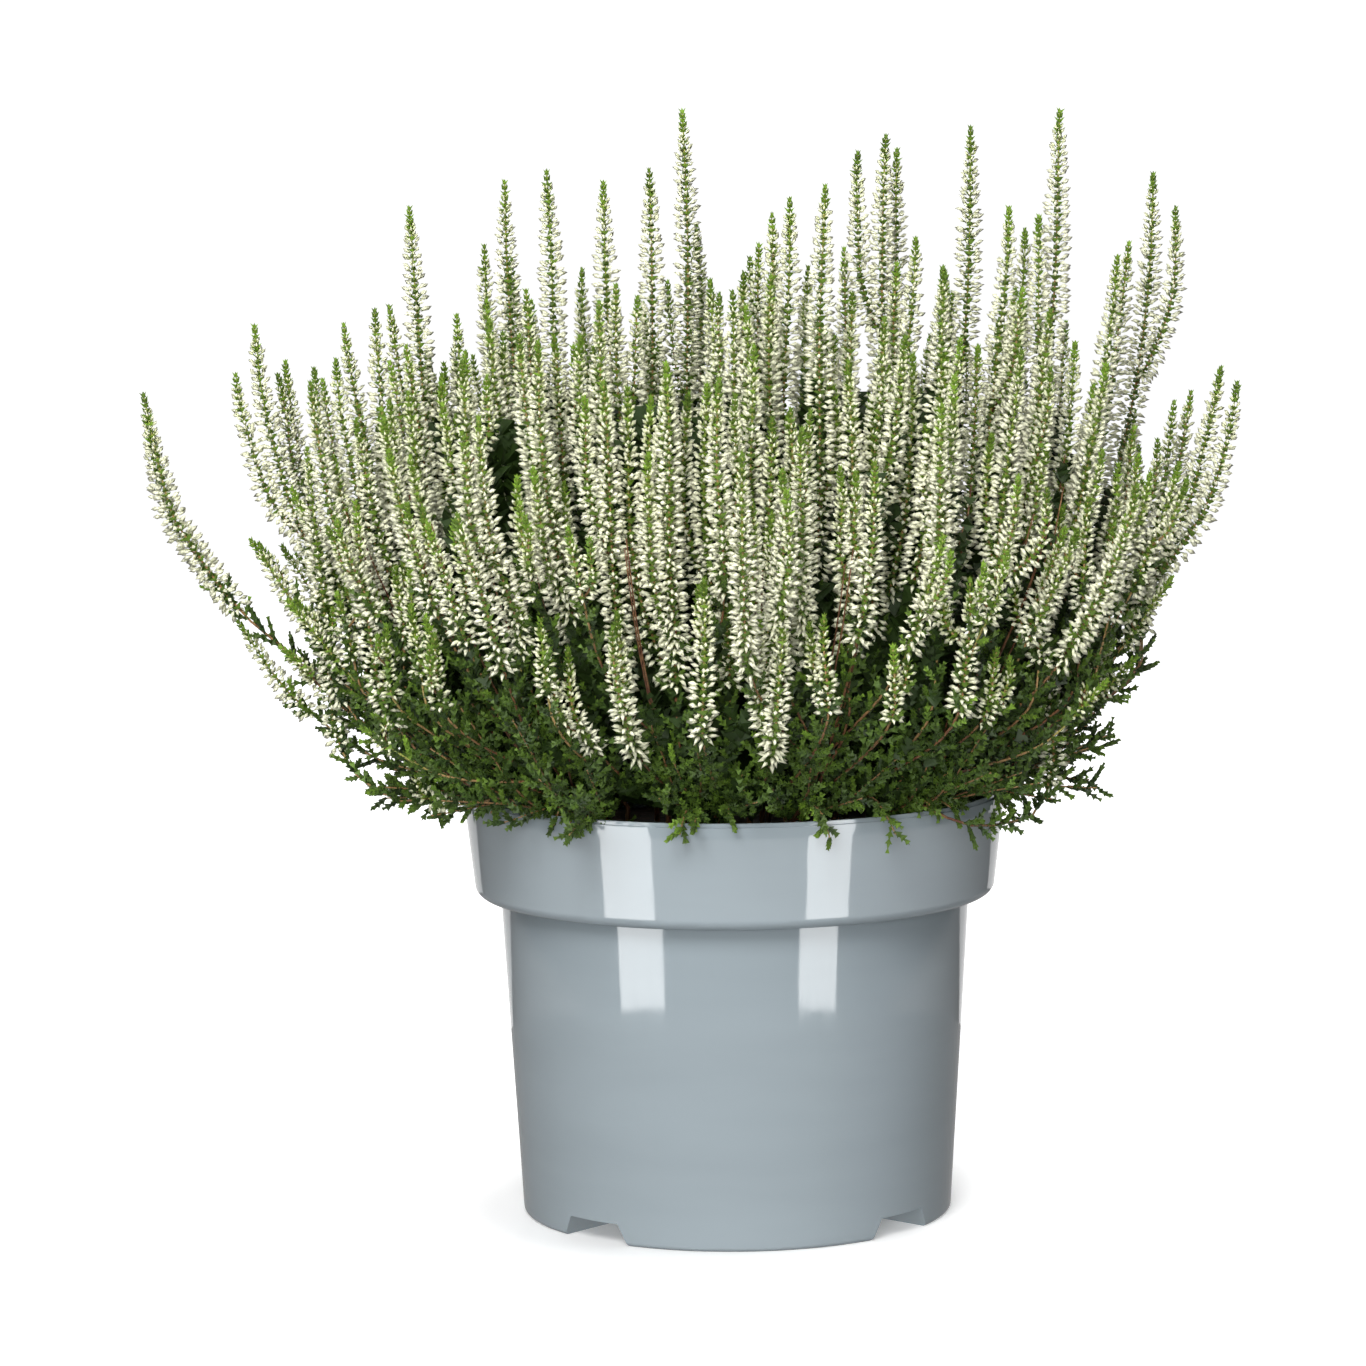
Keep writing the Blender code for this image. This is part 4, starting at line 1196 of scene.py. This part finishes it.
def skirt_path(stem, chance, reach, height):
    """A shoot from low on the stem out over the rim."""
    angle = math.atan2(stem.place.y, stem.place.x) + math.radians(chance.uniform(-16.0, 16.0))
    out = chance.uniform(*reach)
    top = chance.uniform(*height)
    start = stem.path(np.array((chance.uniform(0.165, 0.178),)))[0]
    way = np.array((math.cos(angle), math.sin(angle)))
    middle = np.array((*(np.array((AXIS.x, AXIS.y)) + 0.55 * (start[:2] - (AXIS.x, AXIS.y)) + 0.45 * out * way), 0.184))
    end = np.array((*(np.array((AXIS.x, AXIS.y)) + out * way), top))
    return smooth_path(np.array((start, middle, end)))


def smooth_path(points):
    """PATH_POINTS points of a smooth curve through some others."""
    steps = np.concatenate(((0.0,), np.cumsum(np.linalg.norm(np.diff(points, axis=0), axis=1))))
    slopes = np.gradient(points, steps, axis=0)
    at = np.linspace(0.0, steps[-1], PATH_POINTS)
    number = np.clip(np.searchsorted(steps, at, side="right") - 1, 0, len(steps) - 2)
    span = (steps[number + 1] - steps[number])[:, None]
    t = ((at - steps[number])[:, None]) / span
    start, end = points[number], points[number + 1]
    return (
        (2 * t**3 - 3 * t**2 + 1) * start + (t**3 - 2 * t**2 + t) * span * slopes[number]
        + (3 * t**2 - 2 * t**3) * end + (t**3 - t**2) * span * slopes[number + 1]
    )


def build_leafy_stem(number, stem, materials, settings):
    chance = np.random.default_rng((SEED + 100, number))
    growth = Growth()
    heights = np.concatenate((
        (SOIL_TOP_Z - STEM_DEPTH,), np.linspace(BUSH_REACH[0][0], stem.fork_z, PATH_POINTS - 1)
    ))
    trunk = stem.path(heights)
    radii = np.linspace(0.0012, 0.0007, PATH_POINTS)[None]
    growth.add_tubes(trunk[None], radii, 7, np.array((0.3,)), np.zeros((1, PATH_POINTS)), BARK)
    outer = stem.place.length > 0.45
    wider = FLANK_WIDER if abs(stem.place.x) > FLANK_FROM else 0.0
    add_twigs(growth, trunk, 0.30, 0.98, 0.0030 if outer else 0.014, settings, chance, 0.10)
    # Dark leaves of painted shade round the trunk deep in the bush
    add_filling(growth, trunk[3:], chance, pitch=0.5 * FILLING_PITCH)
    branches = []
    for shoot in stem.leafy:
        path = shoot.path(np.linspace(shoot.fork_z, shoot.tip_z, PATH_POINTS))
        branches.append(swayed(path, chance, 0.0008))
    hanging = []
    if stem.place.length > TRAILING_BEYOND:
        branches += [skirt_path(stem, chance, (0.094, 0.132), (0.190, 0.214)) for _ in range(6)]
        if abs(stem.place.x) > FLANK_FROM:
            reach = (0.134, 0.168) if stem.place.x < 0.0 else (0.128, 0.162)
            branches += [skirt_path(stem, chance, reach, (0.180, 0.236)) for _ in range(9)]
        hanging = [trailing_path(stem, chance) for _ in range(3)]
    for path in branches:
        add_twigs(growth, path, 0.20, 1.0, 0.0030 if stem.place.y < 0.3 else 0.0046, settings, chance, 0.16)
        # Dark leaves of painted shade where the branch is deep in the bush
        add_filling(growth, path, chance, wider)
    for path in hanging:
        add_twigs(growth, path, 0.30, 1.0, 0.0030, settings, chance, 0.28, droop=0.8, lengths=(0.45, 0.85))
    # Shoots inside the bush, which bear only dark leaves as painted shade
    inner = [inner_path(stem, chance) for _ in range(INNER_SHOOTS)]
    for path in inner:
        add_filling(growth, path, chance)
    thin = np.stack(inner)[:, ::2]
    radii = np.linspace(0.0006, 0.0003, thin.shape[1])[None] * np.ones((len(thin), 1))
    growth.add_tubes(thin, radii, 3, chance.uniform(0.0, 0.6, len(thin)), np.zeros(radii.shape), BARK)
    if branches or hanging:
        paths = np.stack(branches + hanging)
        radii = np.linspace(0.0006, 0.0003, PATH_POINTS)[None] * np.ones((len(paths), 1))
        youth = np.linspace(0.0, 0.4, PATH_POINTS)[None] * np.ones((len(paths), 1))
        growth.add_tubes(paths, radii, 4, chance.uniform(0.0, 0.6, len(paths)), youth, BARK)
    return growth.made(f"heather_stem_{number:02d}", materials)


# The studio

CAMERA_BACK = 2.1197
CAMERA_HEIGHT = 0.4719
CAMERA_PITCH = 0.1157
CAMERA_YAW = -0.0100
CAMERA_ROLL = -0.0098
CAMERA_FOCUS_PX = 5028.9
PHOTO_PX = 1366
SENSOR_MM = 36.0
TABLE_RADIUS = 0.43
COLLAR_GLOW_DISTANCE = 3.4


def add_camera():
    """The camera at the photograph's place and angle, seen from the pot's axis."""
    yaw, pitch, roll = CAMERA_YAW, CAMERA_PITCH, CAMERA_ROLL
    across = Matrix(((math.cos(yaw), -math.sin(yaw), 0.0), (math.sin(yaw), math.cos(yaw), 0.0), (0.0, 0.0, 1.0)))
    down = Matrix(((1.0, 0.0, 0.0), (0.0, math.cos(pitch), -math.sin(pitch)), (0.0, math.sin(pitch), math.cos(pitch))))
    right, ahead, up = (Vector(row) for row in (down @ across))
    level_right = math.cos(roll) * right + math.sin(roll) * up
    level_up = math.cos(roll) * up - math.sin(roll) * right
    turn = Matrix((level_right, level_up, -ahead)).transposed()
    data = bpy.data.cameras.new("camera")
    data.sensor_width = SENSOR_MM
    data.lens = SENSOR_MM * CAMERA_FOCUS_PX / PHOTO_PX
    camera = bpy.data.objects.new("camera", data)
    bpy.context.scene.collection.objects.link(camera)
    place = AXIS + Vector((0.0, -CAMERA_BACK, CAMERA_HEIGHT))
    camera.matrix_world = Matrix.Translation(place) @ turn.to_4x4()
    bpy.context.scene.camera = camera


def aimed(obj, place, target):
    obj.location = place
    obj.rotation_euler = (Vector(target) - Vector(place)).to_track_quat("-Z", "Y").to_euler()


def add_softbox(name, place, target, size, power, colour=(1.0, 1.0, 1.0)):
    data = bpy.data.lights.new(name, "AREA")
    data.shape = "RECTANGLE"
    data.size, data.size_y = size
    data.energy = power
    data.color = colour
    light = bpy.data.objects.new(name, data)
    bpy.context.scene.collection.objects.link(light)
    aimed(light, place, target)
    light.visible_camera = False
    light.visible_glossy = False
    return light


def add_glow(name, points, radiance, lights=False):
    """A glowing card that the camera doesn't see, only the pot's gloss."""
    mesh = bpy.data.meshes.new(name)
    mesh.from_pydata(points, [], [tuple(range(len(points)))])
    card = bpy.data.objects.new(name, mesh)
    bpy.context.scene.collection.objects.link(card)
    made = bpy.data.materials.new(name)
    made.use_nodes = True
    tree = made.node_tree
    tree.nodes.clear()
    glow = tree.nodes.new("ShaderNodeEmission")
    glow.inputs["Strength"].default_value = radiance
    out = tree.nodes.new("ShaderNodeOutputMaterial")
    tree.links.new(glow.outputs[0], out.inputs["Surface"])
    mesh.materials.append(made)
    card.visible_camera = False
    card.visible_diffuse = lights
    card.visible_shadow = False
    card.visible_transmission = False
    return card


def add_disc(name, radius, height, radiance):
    points = []
    for number in range(64):
        angle = math.tau * number / 64
        points.append(AXIS + Vector((radius * math.cos(angle), radius * math.sin(angle), height)))
    add_glow(name, points, radiance, True)


def add_world(ambient, gloss):
    """White for the camera, and dimmer for what it lights and where it is seen in a gloss."""
    world = bpy.data.worlds.new("studio")
    bpy.context.scene.world = world
    world.use_nodes = True
    tree = world.node_tree
    tree.nodes.clear()
    seen = tree.nodes.new("ShaderNodeBackground")
    seen.inputs["Color"].default_value = (1.0, 1.0, 1.0, 1.0)
    seen.inputs["Strength"].default_value = 1.1
    lit = tree.nodes.new("ShaderNodeBackground")
    lit.inputs["Color"].default_value = (1.0, 1.0, 1.0, 1.0)
    lit.inputs["Strength"].default_value = ambient
    mirrored = tree.nodes.new("ShaderNodeBackground")
    mirrored.inputs["Color"].default_value = (1.0, 1.0, 1.0, 1.0)
    mirrored.inputs["Strength"].default_value = gloss
    rays = tree.nodes.new("ShaderNodeLightPath")
    unseen = tree.nodes.new("ShaderNodeMixShader")
    mixed = tree.nodes.new("ShaderNodeMixShader")
    out = tree.nodes.new("ShaderNodeOutputWorld")
    tree.links.new(rays.outputs["Is Glossy Ray"], unseen.inputs[0])
    tree.links.new(lit.outputs[0], unseen.inputs[1])
    tree.links.new(mirrored.outputs[0], unseen.inputs[2])
    tree.links.new(rays.outputs["Is Camera Ray"], mixed.inputs[0])
    tree.links.new(unseen.outputs[0], mixed.inputs[1])
    tree.links.new(seen.outputs[0], mixed.inputs[2])
    tree.links.new(mixed.outputs[0], out.inputs["Surface"])


def add_floor(settings):
    mesh = bpy.data.meshes.new("floor")
    mesh.from_pydata([(-40, -40, 0), (40, -40, 0), (40, 40, 0), (-40, 40, 0)], [], [(0, 1, 2, 3)])
    floor = bpy.data.objects.new("floor", mesh)
    bpy.context.scene.collection.objects.link(floor)
    made = new_material("pale_floor_with_painted_glow", 0.6, Emission_Color=(1.0, 1.0, 1.0, 1.0))
    recipe = Recipe(made)
    # Painted light: the floor glows faintly near the pot and strongly from 0.175 m out, which whitens the floor and any
    # shadow on it away from the pot
    distance = recipe.node("ShaderNodeVectorMath", operation="LENGTH")
    recipe.join(recipe.position(), distance.inputs[0])
    glow = recipe.between(distance.outputs["Value"], 0.16, 0.95, 0.085, 0.175)
    recipe.join(glow, recipe.shader.inputs["Emission Strength"])
    grain = recipe.noise(30.0)
    pale = tuple(settings.floor_colour)
    recipe.colour(recipe.mix(grain, pale, tuple(0.99 * part for part in pale)))
    mesh.materials.append(made)
    floor.visible_glossy = False
    floor.visible_diffuse = False


def on_circle(azimuth, distance, height):
    """A place round the pot. Azimuth 0 is the camera's side, and it grows to the right."""
    angle = math.radians(azimuth)
    return AXIS + Vector((distance * math.sin(angle), -distance * math.cos(angle), height))


def upright_card(name, azimuth, distance, half_angle, low, high, radiance):
    centre = on_circle(azimuth, distance, 0.5 * (low + high))
    angle = math.radians(azimuth)
    half_width = distance * math.tan(math.radians(half_angle))
    across = Vector((math.cos(angle), math.sin(angle), 0.0)) * half_width
    up = Vector((0.0, 0.0, 0.5 * (high - low)))
    add_glow(name, [centre - across - up, centre + across - up, centre + across + up, centre - across + up], radiance)


def add_collar_glow(radiance):
    """A glowing band far below the floor, that only the collar mirrors towards the camera. It dims to the sides."""
    tilt = 2.0 * math.sin(math.atan2(RIM_RADIUS - COLLAR_FOOT_RADIUS, POT_HEIGHT - COLLAR_BOTTOM_Z))
    edges = ([], [])
    for number in range(49):
        azimuth = -144.0 + 6.0 * number
        facing = math.cos(math.radians(0.5 * azimuth))
        for edge, height in zip(edges, (POT_HEIGHT + 0.004, COLLAR_BOTTOM_Z - 0.004)):
            fall = math.sin(math.atan2(CAMERA_HEIGHT - height, CAMERA_BACK - RIM_RADIUS)) + tilt * facing
            drop = fall / math.sqrt(1.0 - fall**2) * (COLLAR_GLOW_DISTANCE - RIM_RADIUS * facing)
            edge.append(on_circle(azimuth, COLLAR_GLOW_DISTANCE, height - drop))
    card = add_glow("collar_glow", edges[0] + edges[1][::-1], radiance)
    recipe = Recipe(card.data.materials[0])
    facing = recipe.node("ShaderNodeVectorMath", operation="DOT_PRODUCT")
    recipe.join(recipe.position(), facing.inputs[0])
    facing.inputs[1].default_value = (0.0, -1.0 / COLLAR_GLOW_DISTANCE, 0.0)
    strength = recipe.between(facing.outputs["Value"], 0.15 * radiance, radiance, -0.85, 0.2)
    recipe.join(strength, recipe.tree.nodes["Emission"].inputs["Strength"])


def build_studio(settings):
    add_camera()
    add_world(0.12, 0.10)
    add_floor(settings)
    target = AXIS + Vector((0.0, 0.0, 0.25))
    add_softbox("key_softbox", on_circle(-14.0, 1.9, 1.65), target, (1.1, 1.1), settings.key_power)
    add_softbox("front_softbox", on_circle(-4.0, 2.3, 0.42), target, (0.8, 0.8), settings.fill_power)
    add_softbox("back_softbox", AXIS + Vector((-0.3, 1.6, 1.8)), target, (1.6, 1.0), settings.key_power * 0.22)
    upright_card("left_strip", -46.0, 1.2, 11.5, -1.2, 1.2, 9.0)
    upright_card("right_strip", 40.0, 1.2, 9.5, -1.2, 1.2, 9.0)
    upright_card("backdrop", 180.0, 3.0, 42.0, -3.0, 3.0, 1.0)
    add_disc("table_reflected", TABLE_RADIUS, -0.0005, 0.37)
    add_collar_glow(1.2)
    bpy.context.scene.view_settings.view_transform = "Standard"


# Operators and panel


def placed(obj, node):
    """Puts a finished piece on the frame's one body, in the place of its CAD node."""
    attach(obj, "root")
    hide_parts(node)


class HEATHER_OT_studio(Operator):
    """Adds the camera, the pale floor and the studio light"""

    bl_idname = "heather.studio"
    bl_label = "Studio"

    def execute(self, context):
        build_studio(context.scene.heather_studio)
        return {"FINISHED"}


class HEATHER_OT_pot(Operator):
    """Builds the nursery pot"""

    bl_idname = "heather.pot"
    bl_label = "Nursery pot"

    def execute(self, context):
        placed(build_pot(context.scene.heather_pot), "pot")
        return {"FINISHED"}


class HEATHER_OT_root_ball(Operator):
    """Builds the root ball of peat"""

    bl_idname = "heather.root_ball"
    bl_label = "Root ball"

    def execute(self, context):
        placed(build_root_ball(context.scene.heather_peat), "soil")
        return {"FINISHED"}


def plant_materials(scene):
    """The bud, leaf and bark materials, made once."""
    found = [bpy.data.materials.get(name) for name in ("waxy_bud", "scale_leaf", "heather_bark")]
    if all(found):
        return found
    return [
        bud_material(scene.heather_flowers),
        leaf_material(scene.heather_leaves),
        bark_material(scene.heather_leaves),
    ]


class HEATHER_OT_flower_sprays(Operator):
    """Builds the flower sprays, one for each CAD node"""

    bl_idname = "heather.flower_sprays"
    bl_label = "Flower sprays"

    def execute(self, context):
        scene = context.scene
        materials = plant_materials(scene)
        for number, stem in enumerate(lay_out(), start=1):
            spray = build_spray(number, stem, materials, scene.heather_flowers, scene.heather_leaves)
            placed(spray, f"flower_spray_{number:02d}")
        return {"FINISHED"}


class HEATHER_OT_leafy_stems(Operator):
    """Builds the woody stems with their leafy twigs, one for each CAD node"""

    bl_idname = "heather.leafy_stems"
    bl_label = "Leafy stems"

    def execute(self, context):
        scene = context.scene
        materials = plant_materials(scene)
        for number, stem in enumerate(lay_out(), start=1):
            leafy = build_leafy_stem(number, stem, materials, scene.heather_leaves)
            placed(leafy, f"leafy_stem_{number:02d}")
        return {"FINISHED"}


OPERATORS = (
    HEATHER_OT_studio,
    HEATHER_OT_pot,
    HEATHER_OT_root_ball,
    HEATHER_OT_leafy_stems,
    HEATHER_OT_flower_sprays,
)
SETTINGS = {
    "heather_pot": PotSettings,
    "heather_peat": PeatSettings,
    "heather_flowers": FlowerSettings,
    "heather_leaves": LeafSettings,
    "heather_studio": StudioSettings,
}


class HEATHER_PT_panel(Panel):
    """Lists the settings and the pieces"""

    bl_label = "Potted Heather"
    bl_idname = "HEATHER_PT_panel"
    bl_space_type = "VIEW_3D"
    bl_region_type = "UI"
    bl_category = "Heather"

    def draw(self, context):
        for name, group in SETTINGS.items():
            settings = getattr(context.scene, name)
            for prop in group.__annotations__:
                self.layout.prop(settings, prop)
        for operator in OPERATORS:
            self.layout.operator(operator.bl_idname)


def register():
    for group in SETTINGS.values():
        bpy.utils.register_class(group)
    for operator in OPERATORS:
        bpy.utils.register_class(operator)
    bpy.utils.register_class(HEATHER_PT_panel)
    for name, group in SETTINGS.items():
        setattr(bpy.types.Scene, name, PointerProperty(type=group))


def unregister():
    for name in SETTINGS:
        delattr(bpy.types.Scene, name)
    bpy.utils.unregister_class(HEATHER_PT_panel)
    for operator in reversed(OPERATORS):
        bpy.utils.unregister_class(operator)
    for group in reversed(SETTINGS.values()):
        bpy.utils.unregister_class(group)


def main():
    register()
    bpy.ops.heather.studio()
    bpy.ops.heather.pot()
    bpy.ops.heather.root_ball()
    bpy.ops.heather.leafy_stems()
    bpy.ops.heather.flower_sprays()


if __name__ == "__main__":
    main()
